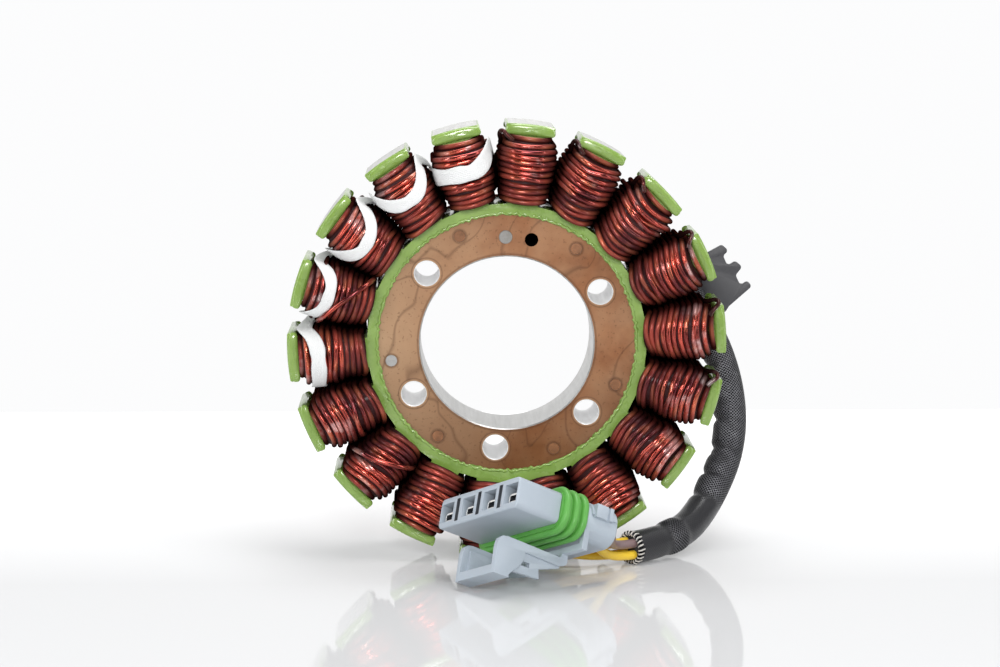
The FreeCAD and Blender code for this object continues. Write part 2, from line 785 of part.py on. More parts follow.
def main():
    os.makedirs("parts", exist_ok=True)
    blank = core_blank()
    save("core_laminations", core_with_holes(blank))
    save("epoxy_coat", epoxy_coat(blank))
    save("core_rivets", core_rivets())
    save("locating_pin", locating_pin())
    one_coil = coil()
    for n in range(1, pole_count + 1):
        save("coil_%02d" % n, turned(one_coil, pole_angle(n)))
    for n, letter in enumerate("abc"):
        save("crossover_wire_" + letter, crossover(n))
    save("splice_sleeves", splices())
    for n in range(len(phase_pole_numbers)):
        name = "phase_wire_%d" % (n + 1)
        save(name, tube(phase_wire_points(n), phase_wire_radius, name))
    for n, set_back in zip(tape_pole_numbers, tape_set_backs):
        save("lacing_tape_%02d" % n, turned(tape_loop(core_radius - set_back), pole_angle(n)))
    save("clamp_plate", clamp_plate())
    save("clamp_rivet", clamp_rivet())
    save("lead_sleeve", tube(sleeve_points(), sleeve_radius, "lead_sleeve"))
    save("connector_housing", connector_housing())
    save("connector_seal", connector_seal())
    for n, v in enumerate(way_places()):
        save("contact_%d" % (n + 1), contact(v))
    for n, name in enumerate(("wire_yellow_1", "wire_yellow_2", "wire_yellow_3", "wire_brown")):
        save(name, tube(wire_points(n), wire_radius, name))


main()
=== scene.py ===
import math
import bmesh
import bpy
import numpy as np
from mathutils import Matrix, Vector


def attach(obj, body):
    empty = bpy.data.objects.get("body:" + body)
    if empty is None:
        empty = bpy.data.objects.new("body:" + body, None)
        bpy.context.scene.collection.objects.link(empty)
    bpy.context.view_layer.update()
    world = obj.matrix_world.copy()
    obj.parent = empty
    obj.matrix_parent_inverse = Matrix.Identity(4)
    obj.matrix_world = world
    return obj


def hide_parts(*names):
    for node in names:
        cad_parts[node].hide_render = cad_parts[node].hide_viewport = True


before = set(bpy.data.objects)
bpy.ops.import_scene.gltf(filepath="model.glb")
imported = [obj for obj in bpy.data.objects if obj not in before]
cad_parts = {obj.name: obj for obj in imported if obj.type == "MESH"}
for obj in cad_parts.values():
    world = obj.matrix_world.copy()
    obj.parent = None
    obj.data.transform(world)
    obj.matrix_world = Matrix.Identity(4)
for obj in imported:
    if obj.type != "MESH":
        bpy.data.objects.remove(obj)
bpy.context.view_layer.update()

scene = bpy.context.scene
scene.view_settings.view_transform = "Standard"

# The dictionaries of shapes are in millimetres, and those of looks, camera, table and lamps in metres
mm = 0.001
poleCount = 18
firstPole = 6.3  # degrees from the top, clockwise seen from the front
poleStep = 20.0
tableHeight = -62.0
connectorAxes = {
    "origin": (-8.6, -38.4, -38.5),  # the middle of the connector's front face
    "backwards": (0.803, 0.441, -0.400),
    "across": (0.574, -0.752, 0.324),
    "pitch": 9.8,  # from one contact to the next
}

# Camera, lights, table
cameraSetup = {
    "distance": 0.800,
    "elevation": 7.64,
    "azimuth": -1.36,
    "turnRight": -0.14,
    "tiltUp": 0.19,
    "lens": 102.06,
}
tableSetup = {
    "halfWidth": 1.6,
    "front": -1.2,
    "back": 0.268,
    "fadeStart": -0.03125,
    "fadeEnd": 0.28125,
    # painted light: the table is lighter and glows more towards the back
    "color": (0.60, 0.605, 0.615),
    "farLitColor": (0.90, 0.90, 0.905),
    "glow": 0.075,
    "farGlow": 0.46,
    "roughness": 0.045,
    "ior": 1.27,
}
lampSetup = {
    # width, height, watts, place, target
    "top": (0.8, 0.35, 5.0, (0.05, 0.05, 0.75), (0, 0.02, 0)),
    "left": (0.16, 0.8, 2.4, (-0.70, -0.50, 0.25), (0, 0, 0)),
    "right": (0.14, 0.8, 2.0, (0.75, -0.42, 0.30), (0, 0, 0)),
    "front": (0.24, 0.34, 6.0, (-0.02, -1.02, 0.40), (0, 0, 0)),
}
worldSetup = {
    "sky": 0.36,
    "seen": (0.975, 0.977, 0.982),
    "backdrop": 0.92,
    "room": 0.07,
    "wallFrom": (-0.0682, 0.3864),
}


def poleAngle(number):
    return firstPole + poleStep * (number - 1)


def connectorFrame():
    # three square directions of the connector: backwards, across and down
    backwards = Vector(connectorAxes["backwards"]).normalized()
    downwards = backwards.cross(Vector(connectorAxes["across"])).normalized()
    return backwards, downwards.cross(backwards), downwards


def turnTowards(thing, way):
    thing.rotation_euler = way.to_track_quat("-Z", "Y").to_euler()


def addCamera(setup):
    # looks at the origin from its distance, elevation and azimuth, then turned a little right and up
    e, a, right, up = (math.radians(setup[key]) for key in ("elevation", "azimuth", "turnRight", "tiltUp"))
    place = Vector((math.sin(a) * math.cos(e), -math.cos(a) * math.cos(e), math.sin(e))) * setup["distance"]
    ahead = -place.normalized()
    sideways = ahead.cross(Vector((0, 0, 1))).normalized()
    upwards = sideways.cross(ahead)
    camera = bpy.data.objects.new("camera", bpy.data.cameras.new("camera"))
    camera.data.lens = setup["lens"]
    camera.data.sensor_width = 36
    camera.data.clip_start = 0.01
    camera.location = place
    turnTowards(camera, ahead + sideways * math.tan(right) + upwards * math.tan(up))
    scene.collection.objects.link(camera)
    scene.camera = camera


def addLamp(name, width, height, watts, place, target):
    lamp = bpy.data.lights.new(name, "AREA")
    lamp.shape = "RECTANGLE"
    lamp.size = width
    lamp.size_y = height
    lamp.energy = watts
    thing = bpy.data.objects.new(name, lamp)
    thing.location = place
    turnTowards(thing, Vector(target) - Vector(place))
    scene.collection.objects.link(thing)


addCamera(cameraSetup)
for lampName, lampValues in lampSetup.items():
    addLamp(lampName + "Lamp", *lampValues)


# Node helpers
shaderSockets = {
    "color": "Base Color",
    "roughness": "Roughness",
    "metallic": "Metallic",
    "specular": "Specular IOR Level",
    "coat": "Coat Weight",
    "coatRoughness": "Coat Roughness",
    "sheen": "Sheen Weight",
    "ior": "IOR",
    "normal": "Normal",
}


def link(tree, source, target):
    tree.links.new(source, target)


def node(tree, kind, **values):
    made = tree.nodes.new(kind)
    for key, value in values.items():
        setattr(made, key, value)
    return made


def feed(tree, socket, value):
    # a number, place or colour is set on the socket, and a node's output is linked to it
    if isinstance(value, tuple):
        socket.default_value = value + (1,) * (len(socket.default_value) - len(value))
    elif isinstance(value, (int, float)):
        socket.default_value = value
    else:
        link(tree, value, socket)


def calc(tree, operation, *values, clamp=False):
    made = node(tree, "ShaderNodeMath", operation=operation, use_clamp=clamp)
    for socket, value in zip(made.inputs, values):
        feed(tree, socket, value)
    return made.outputs[0]


def times(tree, first, *others):
    for other in others:
        first = calc(tree, "MULTIPLY", first, other)
    return first


def inverse(tree, share):
    return calc(tree, "SUBTRACT", 1.0, share)


def ramp(tree, value, zeroAt, oneAt):
    # the share (value - zeroAt) / (oneAt - zeroAt), held between 0 and 1
    slope = 1 / (oneAt - zeroAt)
    return calc(tree, "MULTIPLY_ADD", value, slope, -zeroAt * slope, clamp=True)


def between(tree, share, atZero, atOne):
    # atZero + (atOne - atZero) x share
    return calc(tree, "MULTIPLY_ADD", share, atOne - atZero, atZero)


def bandAt(tree, value, middle, half):
    # 1 where the value is at the middle, falling to 0 at a half width each side of it
    return ramp(tree, calc(tree, "ABSOLUTE", calc(tree, "SUBTRACT", value, middle)), half, 0.0)


def mixColor(tree, share, first, second):
    made = node(tree, "ShaderNodeMix", data_type="RGBA")
    for index, value in ((0, share), (6, first), (7, second)):
        feed(tree, made.inputs[index], value)
    return made.outputs[2]


def noise(tree, vector, scale, detail=3.0, roughness=0.55, distortion=0.0):
    made = node(tree, "ShaderNodeTexNoise")
    labels = ("Vector", "Scale", "Detail", "Roughness", "Distortion")
    for label, value in zip(labels, (vector, scale, detail, roughness, distortion)):
        feed(tree, made.inputs[label], value)
    return made.outputs["Fac"]


def noisePatch(tree, vector, scale, detail, roughness, none, full):
    # how far a noise has risen from one value to another
    return ramp(tree, noise(tree, vector, scale, detail, roughness), none, full)


def stretched(tree, vector, scale):
    made = node(tree, "ShaderNodeMapping")
    feed(tree, made.inputs["Scale"], scale)
    link(tree, vector, made.inputs["Vector"])
    return made.outputs[0]


def splitOf(tree, vector):
    made = node(tree, "ShaderNodeSeparateXYZ")
    link(tree, vector, made.inputs[0])
    return made.outputs


def vectorCalc(tree, operation, first, second, output="Value"):
    made = node(tree, "ShaderNodeVectorMath", operation=operation)
    feed(tree, made.inputs[0], first)
    feed(tree, made.inputs[1], second)
    return made.outputs[output]


def flatPlace(tree, x, z):
    # a place moved along the stator's axis onto the plane y = 0
    made = node(tree, "ShaderNodeCombineXYZ")
    link(tree, x, made.inputs[0])
    link(tree, z, made.inputs[2])
    return made.outputs[0]


def bump(tree, height, strength, distance):
    made = node(tree, "ShaderNodeBump")
    feed(tree, made.inputs["Strength"], strength)
    feed(tree, made.inputs["Distance"], distance)
    link(tree, height, made.inputs["Height"])
    return made.outputs[0]


def dress(tree, shader, **looks):
    for look, value in looks.items():
        feed(tree, shader.inputs[shaderSockets[look]], value)


def newMaterial(name, **looks):
    material = bpy.data.materials.new(name)
    material.use_nodes = True
    tree = material.node_tree
    shader = tree.nodes["Principled BSDF"]
    dress(tree, shader, **{"coatRoughness": 0.1, **looks})
    return material, tree, shader


def objectSpace(tree):
    return node(tree, "ShaderNodeTexCoord").outputs["Object"]


def ownUv(tree):
    # metres along a piece's path and across or round it
    return node(tree, "ShaderNodeUVMap", uv_map="path").outputs[0]


# Shared effects, as node groups
def newGroup(name, inputs, outputs):
    group = bpy.data.node_groups.new(name, "ShaderNodeTree")
    group.interface.new_socket(name="Vector", in_out="INPUT", socket_type="NodeSocketVector")
    for label, value in inputs.items():
        made = group.interface.new_socket(name=label, in_out="INPUT", socket_type="NodeSocketFloat")
        made.default_value = value
    for label in outputs:
        group.interface.new_socket(name=label, in_out="OUTPUT", socket_type="NodeSocketFloat")
    return group, group.nodes.new("NodeGroupInput").outputs, group.nodes.new("NodeGroupOutput").inputs


def useGroup(tree, group, **values):
    made = node(tree, "ShaderNodeGroup", node_tree=group)
    for key, value in values.items():
        feed(tree, made.inputs[key], value)
    return made.outputs


def mottleGroup():
    # 0.7 of a broad noise and 0.3 of one seven times finer, their distance from a half times the contrast: a
    # patchy mask, and the fine noise alone as a height
    group, start, end = newGroup("mottle", {"Scale": 100.0, "Contrast": 2.0}, ("Mask", "Height"))
    broad = noise(group, start["Vector"], start["Scale"], 3.0, 0.5, 0.8)
    fine = noise(group, start["Vector"], times(group, start["Scale"], 7.0), 4.0, 0.5)
    both = calc(group, "MULTIPLY_ADD", fine, 0.3, times(group, broad, 0.7))
    centred = times(group, calc(group, "SUBTRACT", both, 0.5), start["Contrast"])
    link(group, calc(group, "ADD", centred, 0.5, clamp=True), end["Mask"])
    link(group, fine, end["Height"])
    return group


def braidGroup():
    # two sets of slanting threads: the higher of sin(u + v) and sin(u - v), u and v being the metres along
    # and round times the two densities
    group, start, end = newGroup("braid", {"Along": 1000.0, "Around": 1000.0}, ("Height",))
    u, v, _ = splitOf(group, start["Vector"])
    along = times(group, u, start["Along"])
    around = times(group, v, start["Around"])
    threads = [calc(group, "SINE", calc(group, way, along, around)) for way in ("ADD", "SUBTRACT")]
    link(group, calc(group, "MAXIMUM", *threads), end["Height"])
    return group


mottle = mottleGroup()
braid = braidGroup()
print("shared effects ready")


# Materials. The core's sheets: a varnished face, a bare rim and bare holes
def faceSpot(radius, angle):
    # a place on the face, in metres, from its millimetres off the axis and its angle from the first pole
    turn = math.radians(firstPole + angle)
    return (radius * mm * math.sin(turn), 0, radius * mm * math.cos(turn))


laminationLook = {
    "brown": (0.195, 0.063, 0.020),
    "paleBrown": (0.33, 0.135, 0.052),
    "darkBrown": (0.07, 0.024, 0.009),
    "deepBrown": (0.120, 0.045, 0.012),
    "tan": (0.44, 0.29, 0.170),
    "green": (0.15, 0.28, 0.05),
    "steel": (0.52, 0.52, 0.51),
    "paleSteel": (0.76, 0.76, 0.75),
    "darkSteel": (0.30, 0.29, 0.28),
    "litHoleSteel": (0.97, 0.97, 0.97),
    "shadeBlack": (0.004, 0.004, 0.004),
    "worn": (34, 3.0, 0.6, 0.4125, 0.6625),  # noise: scale, detail, roughness; none, full
    "speck": (900, 2.0, 0.7),  # noise: scale, detail, roughness
    "speckAbove": 0.62,
    "runLine": (60, 60, 38),
    "runLineHalf": 1 / 60,
    "sheets": 320,
    "sheetStreaks": (900, 40, 900),
    "stackMiddle": 0.0127,
    "faceFrom": 0.01268,  # from the stack's middle
    "rimFrom": 0.055,  # from the axis
    "overspray": (0.03615, 0.03626),
    "overspraySway": 0.0011,
    "oversprayNoise": (330, 4.0, 0.7),
    "shadeByCoat": (0.035, 0.03885),
    "tanLeft": (0.00192, -0.03654),
    "deepBelow": (0.0, -0.03333),
    "screwHoles": [faceSpot(30.0, angle) for angle in (55, 125, 180, 235, 305)],
    "screwRadius": 0.0037,
    "screwRings": ((0.0038, 0.0004), (0.0043, 0.0003)),
    "rivets": [faceSpot(33.0, angle) for angle in (30, 105, 150, 210, 255, 330)],
    "rivetRing": (0.0019, 0.0005),
    "boreRing": (0.0252, 0.0004),
    "locatingHole": (0.0069, 0, 0.0292),
    "locatingRadius": 0.0023,
    "bareRivetLeftOf": -0.025,
}


def nearestOf(tree, flat, places):
    # the least of the distances from several places on the face
    away = [vectorCalc(tree, "DISTANCE", flat, place) for place in places]
    nearest = away[0]
    for other in away[1:]:
        nearest = calc(tree, "MINIMUM", nearest, other)
    return nearest


def varnishedFace(tree, place, x, z, patches, runLine, offAxis, screw, rivet, values):
    # brown mottled varnish, tan where it is worn and towards the left, deeper below, with specks, run lines
    # and rings round the holes and rivets, and green overspray with a noise's ragged edge by the coat
    tan, deepBrown, darkBrown = values["tan"], values["deepBrown"], values["darkBrown"]
    worn = noisePatch(tree, place, *values["worn"])
    speck = calc(tree, "GREATER_THAN", noise(tree, place, *values["speck"]), values["speckAbove"])
    holeRing, outerRing = (bandAt(tree, screw, *ring) for ring in values["screwRings"])
    rings = calc(tree, "ADD", outerRing, bandAt(tree, rivet, *values["rivetRing"]))
    rings = calc(tree, "ADD", rings, bandAt(tree, offAxis, *values["boreRing"]), clamp=True)
    brown = mixColor(tree, patches["Mask"], values["brown"], values["paleBrown"])
    layers = (
        (worn, 0.45, tan),
        (ramp(tree, x, *values["tanLeft"]), 0.75, tan),
        (ramp(tree, z, *values["deepBelow"]), 0.60, deepBrown),
        (speck, 0.35, darkBrown),
        (runLine, 0.45, darkBrown),
        (holeRing, 0.5, tan),
        (rings, 0.55, darkBrown),
        (ramp(tree, offAxis, *values["shadeByCoat"]), 0.25, darkBrown),
    )
    for share, strength, color in layers:
        brown = mixColor(tree, times(tree, share, strength), brown, color)
    sway = values["overspraySway"]
    ragged = between(tree, noise(tree, place, *values["oversprayNoise"]), -sway, sway)
    over = ramp(tree, calc(tree, "ADD", offAxis, ragged), *values["overspray"])
    return mixColor(tree, over, brown, values["green"])


def laminationMaterial(values):
    # faces, more than the stack's half thickness from its middle: the varnish; elsewhere bare steel, streaked
    # and with bands across the stack; painted light brightens the screw holes, painted shade blackens the
    # locating hole
    material, tree, shader = newMaterial("laminationSteel", color=values["brown"])
    place = objectSpace(tree)
    x, y, z = splitOf(tree, place)
    flat = flatPlace(tree, x, z)
    offAxis = vectorCalc(tree, "DISTANCE", flat, (0, 0, 0))
    screw = nearestOf(tree, flat, values["screwHoles"])
    rivet = nearestOf(tree, flat, values["rivets"])
    offMiddle = calc(tree, "ABSOLUTE", calc(tree, "SUBTRACT", y, values["stackMiddle"]))
    onFace = calc(tree, "GREATER_THAN", offMiddle, values["faceFrom"])
    onWall = inverse(tree, onFace)
    patches = useGroup(tree, mottle, Vector=place, Scale=85.0, Contrast=2.6)
    # run lines: a thin band where a warped noise crosses one half
    field = noise(tree, stretched(tree, place, values["runLine"]), 1.0, 1.5, 0.4, 0.6)
    runLine = bandAt(tree, field, 0.5, values["runLineHalf"])
    brown = varnishedFace(tree, place, x, z, patches, runLine, offAxis, screw, rivet, values)
    sheets = node(tree, "ShaderNodeTexWave", wave_type="BANDS", bands_direction="Y")
    for label, value in (("Vector", place), ("Scale", values["sheets"]), ("Distortion", 0.4)):
        feed(tree, sheets.inputs[label], value)
    streaks = noise(tree, stretched(tree, place, values["sheetStreaks"]), 1.0, 2.0)
    away = vectorCalc(tree, "DISTANCE", flat, values["locatingHole"])
    inHole = times(tree, calc(tree, "LESS_THAN", away, values["locatingRadius"]), onWall)
    inScrew = times(tree, calc(tree, "LESS_THAN", screw, values["screwRadius"]), onWall)
    steel = mixColor(tree, streaks, values["steel"], values["paleSteel"])
    steel = mixColor(tree, times(tree, sheets.outputs["Fac"], 0.30), steel, values["darkSteel"])
    # painted light: the screw holes' walls are made brighter
    steel = mixColor(tree, inScrew, steel, values["litHoleSteel"])
    # painted shade: the locating hole's wall is made black
    steel = mixColor(tree, inHole, steel, values["shadeBlack"])
    notHole = inverse(tree, inHole)
    metal = calc(tree, "MULTIPLY_ADD", inScrew, -0.45, between(tree, onFace, 0.85, 0.05))
    onRim = calc(tree, "GREATER_THAN", offAxis, values["rimFrom"])
    relief = calc(tree, "MULTIPLY_ADD", sheets.outputs["Fac"], 0.4, patches["Height"])
    dress(
        tree,
        shader,
        color=mixColor(tree, onFace, steel, brown),
        metallic=times(tree, metal, notHole),
        specular=times(tree, between(tree, onFace, 0.5, 0.28), notHole),
        roughness=calc(tree, "MULTIPLY_ADD", onRim, 0.16, between(tree, patches["Mask"], 0.30, 0.46)),
        coat=times(tree, onFace, 0.10),
        coatRoughness=0.18,
        normal=bump(tree, calc(tree, "MULTIPLY_ADD", runLine, 0.6, relief), 0.25, 0.00008),
    )
    return material


def rivetMaterial(values):
    # rivet ends under the core's brown varnish, but for the bare one on the left
    material, tree, shader = newMaterial("rivetEnds", color=values["brown"], roughness=0.4)
    place = objectSpace(tree)
    bare = calc(tree, "LESS_THAN", splitOf(tree, place)[0], values["bareRivetLeftOf"])
    patches = useGroup(tree, mottle, Vector=place, Scale=300.0, Contrast=2.4)
    brown = mixColor(tree, patches["Mask"], values["deepBrown"], values["paleBrown"])
    steel = mixColor(tree, patches["Mask"], values["darkSteel"], values["steel"])
    dress(tree, shader, color=mixColor(tree, bare, brown, steel), metallic=times(tree, bare, 0.7),
          normal=bump(tree, patches["Height"], 0.4, 0.0001))
    return material


# The green coat on the teeth
coatLook = {"green": (0.175, 0.30, 0.045), "paleGreen": (0.27, 0.41, 0.095), "peel": 420}


def coatMaterial(values):
    # green powder coat: slightly mottled colour, orange peel from a noise of about 2 mm cells
    material, tree, shader = newMaterial("greenCoat", color=values["green"], coat=0.7, coatRoughness=0.08)
    place = objectSpace(tree)
    patches = useGroup(tree, mottle, Vector=place, Scale=120.0, Contrast=1.6)
    dress(
        tree,
        shader,
        color=mixColor(tree, patches["Mask"], values["green"], values["paleGreen"]),
        roughness=between(tree, patches["Mask"], 0.22, 0.34),
        normal=bump(tree, noise(tree, place, values["peel"], 2.0), 0.5, 0.00025),
    )
    return material


# The coils' wire and the varnish between its turns
enamelLook = {
    "red": (0.68, 0.108, 0.070),
    "darkRed": (0.12, 0.018, 0.022),
    "highlightOrange": (0.98, 0.27, 0.11),
    "shadeBlack": (0.006, 0.002, 0.002),
    "milky": (0.74, 0.64, 0.63),
    "frontShadeFrom": (-0.00608, -0.00192),  # y on the front: no painted shade, full painted shade
    "rearShadeFrom": (0.02864, 0.02409),  # y behind the core: no painted shade, full painted shade
    "milkyFrom": (0.04604, 0.05703),  # distance off the axis: none, full
    "streaks": (70, 160, 1),  # along and round, a metre
    "glints": (110, 260, 1),
    "waves": (90, 60, 1),
    "streakFrom": (0.4130, 0.6304),
    "glintFrom": (0.5, 0.6667),
    "patch": (75, 1.0, 0.55, 0.375, 0.625),  # noise: scale, detail, roughness; none, full
    "runs": (160, 3.0, 0.6, 0.53125, 0.65625),
}
darkEndLook = {
    **enamelLook,
    "red": (0.16, 0.030, 0.022),
    "darkRed": (0.04, 0.008, 0.008),
    "highlightOrange": (0.40, 0.12, 0.08),
    "milky": (0.50, 0.44, 0.44),
}
poolLook = {"deep": (0.006, 0.002, 0.002), "unshadedVarnish": (0.050, 0.009, 0.010), "frontFrom": (-0.0008, -0.0048)}


def enamelMaterial(name, values):
    # enamelled copper: a red metal whose colour and gloss wander along the wire, under clear varnish. Painted
    # shade turns it black on the flanks, between the front and the rear: the clear share, free of that shade,
    # is (1 - front x rear) to the power 1.5, with one ramp for the front and one for the rear. Milky runs lie
    # near the rim where a noise is high
    material, tree, shader = newMaterial(name, color=values["red"], coatRoughness=0.09)
    place = objectSpace(tree)
    path = ownUv(tree)
    x, y, z = splitOf(tree, place)
    offAxis = vectorCalc(tree, "DISTANCE", flatPlace(tree, x, z), (0, 0, 0))
    # painted shade: the flanks and the part behind the core go black
    rawShade = times(tree, ramp(tree, y, *values["frontShadeFrom"]), ramp(tree, y, *values["rearShadeFrom"]))
    clear = calc(tree, "POWER", inverse(tree, rawShade), 1.5)
    shade = inverse(tree, clear)
    streak, glint, wave = (
        noise(tree, stretched(tree, path, values[key]), 1.0, 1.0) for key in ("streaks", "glints", "waves")
    )
    streak = ramp(tree, streak, *values["streakFrom"])
    glint = ramp(tree, glint, *values["glintFrom"])
    patch = noisePatch(tree, place, *values["patch"])
    tone = calc(tree, "MULTIPLY_ADD", patch, 0.45, times(tree, streak, 0.55), clamp=True)
    runs = noisePatch(tree, place, *values["runs"])
    milky = times(tree, ramp(tree, offAxis, *values["milkyFrom"]), runs, clear)
    red = mixColor(tree, tone, values["darkRed"], values["red"])
    # orange painted highlight where the glint noise is high
    for share, strength, color in ((glint, 0.45, "highlightOrange"), (shade, 0.96, "shadeBlack"), (milky, 0.55, "milky")):
        red = mixColor(tree, times(tree, share, strength), red, values[color])
    wet = times(tree, between(tree, glint, 0.30, 0.65), clear)
    dress(
        tree,
        shader,
        color=red,
        metallic=times(tree, between(tree, milky, 0.93, 0.33), clear),
        specular=times(tree, clear, 0.5),
        roughness=calc(tree, "MULTIPLY_ADD", tone, -0.05, between(tree, shade, 0.23, 0.63)),
        coat=calc(tree, "MULTIPLY_ADD", milky, 0.4, wet, clamp=True),
        normal=bump(tree, calc(tree, "MULTIPLY_ADD", milky, 0.6, wave), 0.22, 0.00020),
    )
    return material


def poolMaterial(values):
    # pooled varnish between the turns: almost black red, wet in front and dull in the gaps by a ramp on y,
    # and by the same ramp a painted shade that darkens its colour into the gaps
    material, tree, shader = newMaterial("pooledVarnish", color=values["deep"], coatRoughness=0.08)
    place = objectSpace(tree)
    front = ramp(tree, splitOf(tree, place)[1], *values["frontFrom"])
    patches = useGroup(tree, mottle, Vector=place, Scale=260.0, Contrast=2.0)
    # painted shade: the colour is darker behind the front, in the gaps
    tone = times(tree, front, between(tree, patches["Mask"], 0.4, 1.0))
    dress(
        tree,
        shader,
        color=mixColor(tree, tone, values["deep"], values["unshadedVarnish"]),
        coat=times(tree, front, 0.12),
        roughness=between(tree, front, 0.60, 0.45),
        specular=times(tree, front, 0.16),
        normal=bump(tree, patches["Height"], 0.7, 0.0004),
    )
    return material


# The lead's sleeve and the lacing tapes
sleeveLook = {
    "dark": (0.004, 0.004, 0.005),
    "varnished": (0.020, 0.020, 0.023),
    "threadHighlight": (0.38, 0.38, 0.41),
    "density": 6800.0,  # of the threads, along and round
    "wovenUpTo": (0.08743, 0.08457),  # metres along: drowned, woven
    "collarPlace": 0.1056,
    "collarReach": (0.00343, 0.0020),
    "frontHighlight": (-0.3, -0.967),  # the surface's turn to the front: none, full
}
tapeLook = {"white": (0.76, 0.77, 0.77), "shadow": (0.50, 0.50, 0.49), "along": 5200.0, "across": 9000.0}


def sleeveMaterial(values):
    # woven sleeve soaked in varnish. The weave shows on its first part and on the collar, in patches;
    # elsewhere the varnish drowns it and is smooth. Painted highlights make the threads pale by their height
    # to the power 8, most on the side turned to the stator's front, and the gaps between them have no gloss
    material, tree, shader = newMaterial("wovenSleeve", color=values["dark"], coatRoughness=0.22)
    path = ownUv(tree)
    height = useGroup(tree, braid, Vector=path, Along=values["density"], Around=values["density"])["Height"]
    patches = useGroup(tree, mottle, Vector=objectSpace(tree), Scale=60.0, Contrast=5.5)
    along = splitOf(tree, path)[0]
    offCollar = calc(tree, "ABSOLUTE", calc(tree, "SUBTRACT", along, values["collarPlace"]))
    upper = ramp(tree, along, *values["wovenUpTo"])
    woven = calc(tree, "ADD", upper, ramp(tree, offCollar, *values["collarReach"]), clamp=True)
    bare = times(tree, woven, between(tree, patches["Mask"], 0.25, 1.0))
    high = ramp(tree, height, -1.0, 1.0)
    turnedFront = splitOf(tree, node(tree, "ShaderNodeNewGeometry").outputs["Normal"])[1]
    frontHighlight = between(tree, ramp(tree, turnedFront, *values["frontHighlight"]), 0.15, 1.0)
    # painted highlight: pale thread crowns, most on the side turned to the front
    worn = times(tree, calc(tree, "POWER", high, 8.0), between(tree, bare, 0.01, 0.98), frontHighlight)
    soaked = mixColor(tree, bare, values["varnished"], values["dark"])
    gap = times(tree, woven, inverse(tree, calc(tree, "POWER", high, 4.0)))
    dress(
        tree,
        shader,
        color=mixColor(tree, worn, soaked, values["threadHighlight"]),
        roughness=between(tree, bare, 0.34, 0.38),
        coat=between(tree, woven, 0.34, 0.01),
        specular=between(tree, gap, 0.38, 0.01),
        normal=bump(tree, times(tree, height, between(tree, bare, 0.07, 1.0)), 0.8, 0.00034),
    )
    return material


def tapeMaterial(values):
    # flat cotton tape: woven like the sleeve but finer, and greyer in random patches, with painted shade in
    # the weave's valleys
    material, tree, shader = newMaterial("lacingTape", roughness=0.62, coat=0.12, sheen=0.2)
    threads = useGroup(tree, braid, Vector=ownUv(tree), Along=values["along"], Around=values["across"])
    height = threads["Height"]
    patches = useGroup(tree, mottle, Vector=objectSpace(tree), Scale=150.0, Contrast=1.8)
    # painted shade: the grey is darker in the weave's valleys than on the thread crowns
    shade = calc(tree, "MULTIPLY_ADD", height, 0.12, 0.12, clamp=True)
    shadedWeave = mixColor(tree, shade, values["shadow"], values["white"])
    dress(tree, shader, color=mixColor(tree, times(tree, patches["Mask"], 0.35), values["white"], shadedWeave),
          normal=bump(tree, height, 0.35, 0.00012))
    return material


# Moulded plastics and small metal parts: colour, deeper colour, roughness
mouldedLooks = {
    "housingPlastic": ((0.42, 0.475, 0.535), (0.37, 0.425, 0.485), 0.38),
    "sealRubber": ((0.115, 0.38, 0.07), (0.08, 0.31, 0.05), 0.42),
    "yellowInsulation": ((0.90, 0.62, 0.05), (0.84, 0.54, 0.03), 0.35),
    "brownInsulation": ((0.26, 0.18, 0.18), (0.20, 0.13, 0.13), 0.35),
    "clampCoating": ((0.068, 0.068, 0.075), (0.05, 0.05, 0.055), 0.5),
    "spliceSleeve": ((0.50, 0.47, 0.40), (0.40, 0.37, 0.30), 0.6),
    "phaseInsulation": ((0.030, 0.027, 0.027), (0.018, 0.016, 0.016), 0.35),
    "paleThread": ((0.72, 0.70, 0.66), (0.60, 0.57, 0.52), 0.7),
}
# colour, deeper colour, roughness, metallic
metalLooks = {
    "tinnedContact": ((0.97, 0.97, 0.95), (0.70, 0.69, 0.66), 0.26, 0.45),
    "dullRivet": ((0.34, 0.335, 0.325), (0.20, 0.185, 0.165), 0.45, 0.8),
}
cellLook = {
    "depth": 0.0123,
    "halfWidth": 0.0177,
    "halfHeight": 0.0033,
    "darkFrom": (0.00054, 0.00504),  # back from the front face: open, dark
    "slotHalfWidth": 0.0008,
    "dark": (0.035, 0.038, 0.045),
    "contactDrop": 0.001,
    "boreHalfWidth": 0.00162,
    "boreHalfHeight": 0.00082,
}


def mouldedMaterial(name):
    # faint flow marks in the colour and roughness, and a fine matt grain
    color, deep, roughness = mouldedLooks[name]
    material, tree, shader = newMaterial(name, color=color)
    place = objectSpace(tree)
    patches = useGroup(tree, mottle, Vector=place, Scale=90.0, Contrast=1.3)
    dress(
        tree,
        shader,
        color=mixColor(tree, patches["Mask"], deep, color),
        roughness=between(tree, patches["Mask"], roughness - 0.05, roughness + 0.05),
        normal=bump(tree, noise(tree, place, 2600, 2.0), 0.18, 0.00004),
    )
    return material


def metalMaterial(name):
    # worn metal: patches of a second shade, scratches from a stretched noise
    color, deep, roughness, metallic = metalLooks[name]
    material, tree, shader = newMaterial(name, color=color, metallic=metallic)
    place = objectSpace(tree)
    patches = useGroup(tree, mottle, Vector=place, Scale=240.0, Contrast=2.2)
    scratches = noise(tree, stretched(tree, place, (300, 2400, 2400)), 1.0, 2.0)
    dress(
        tree,
        shader,
        color=mixColor(tree, patches["Mask"], deep, color),
        roughness=between(tree, patches["Mask"], roughness - 0.08, roughness + 0.10),
        normal=bump(tree, scratches, 0.2, 0.00004),
    )
    return material


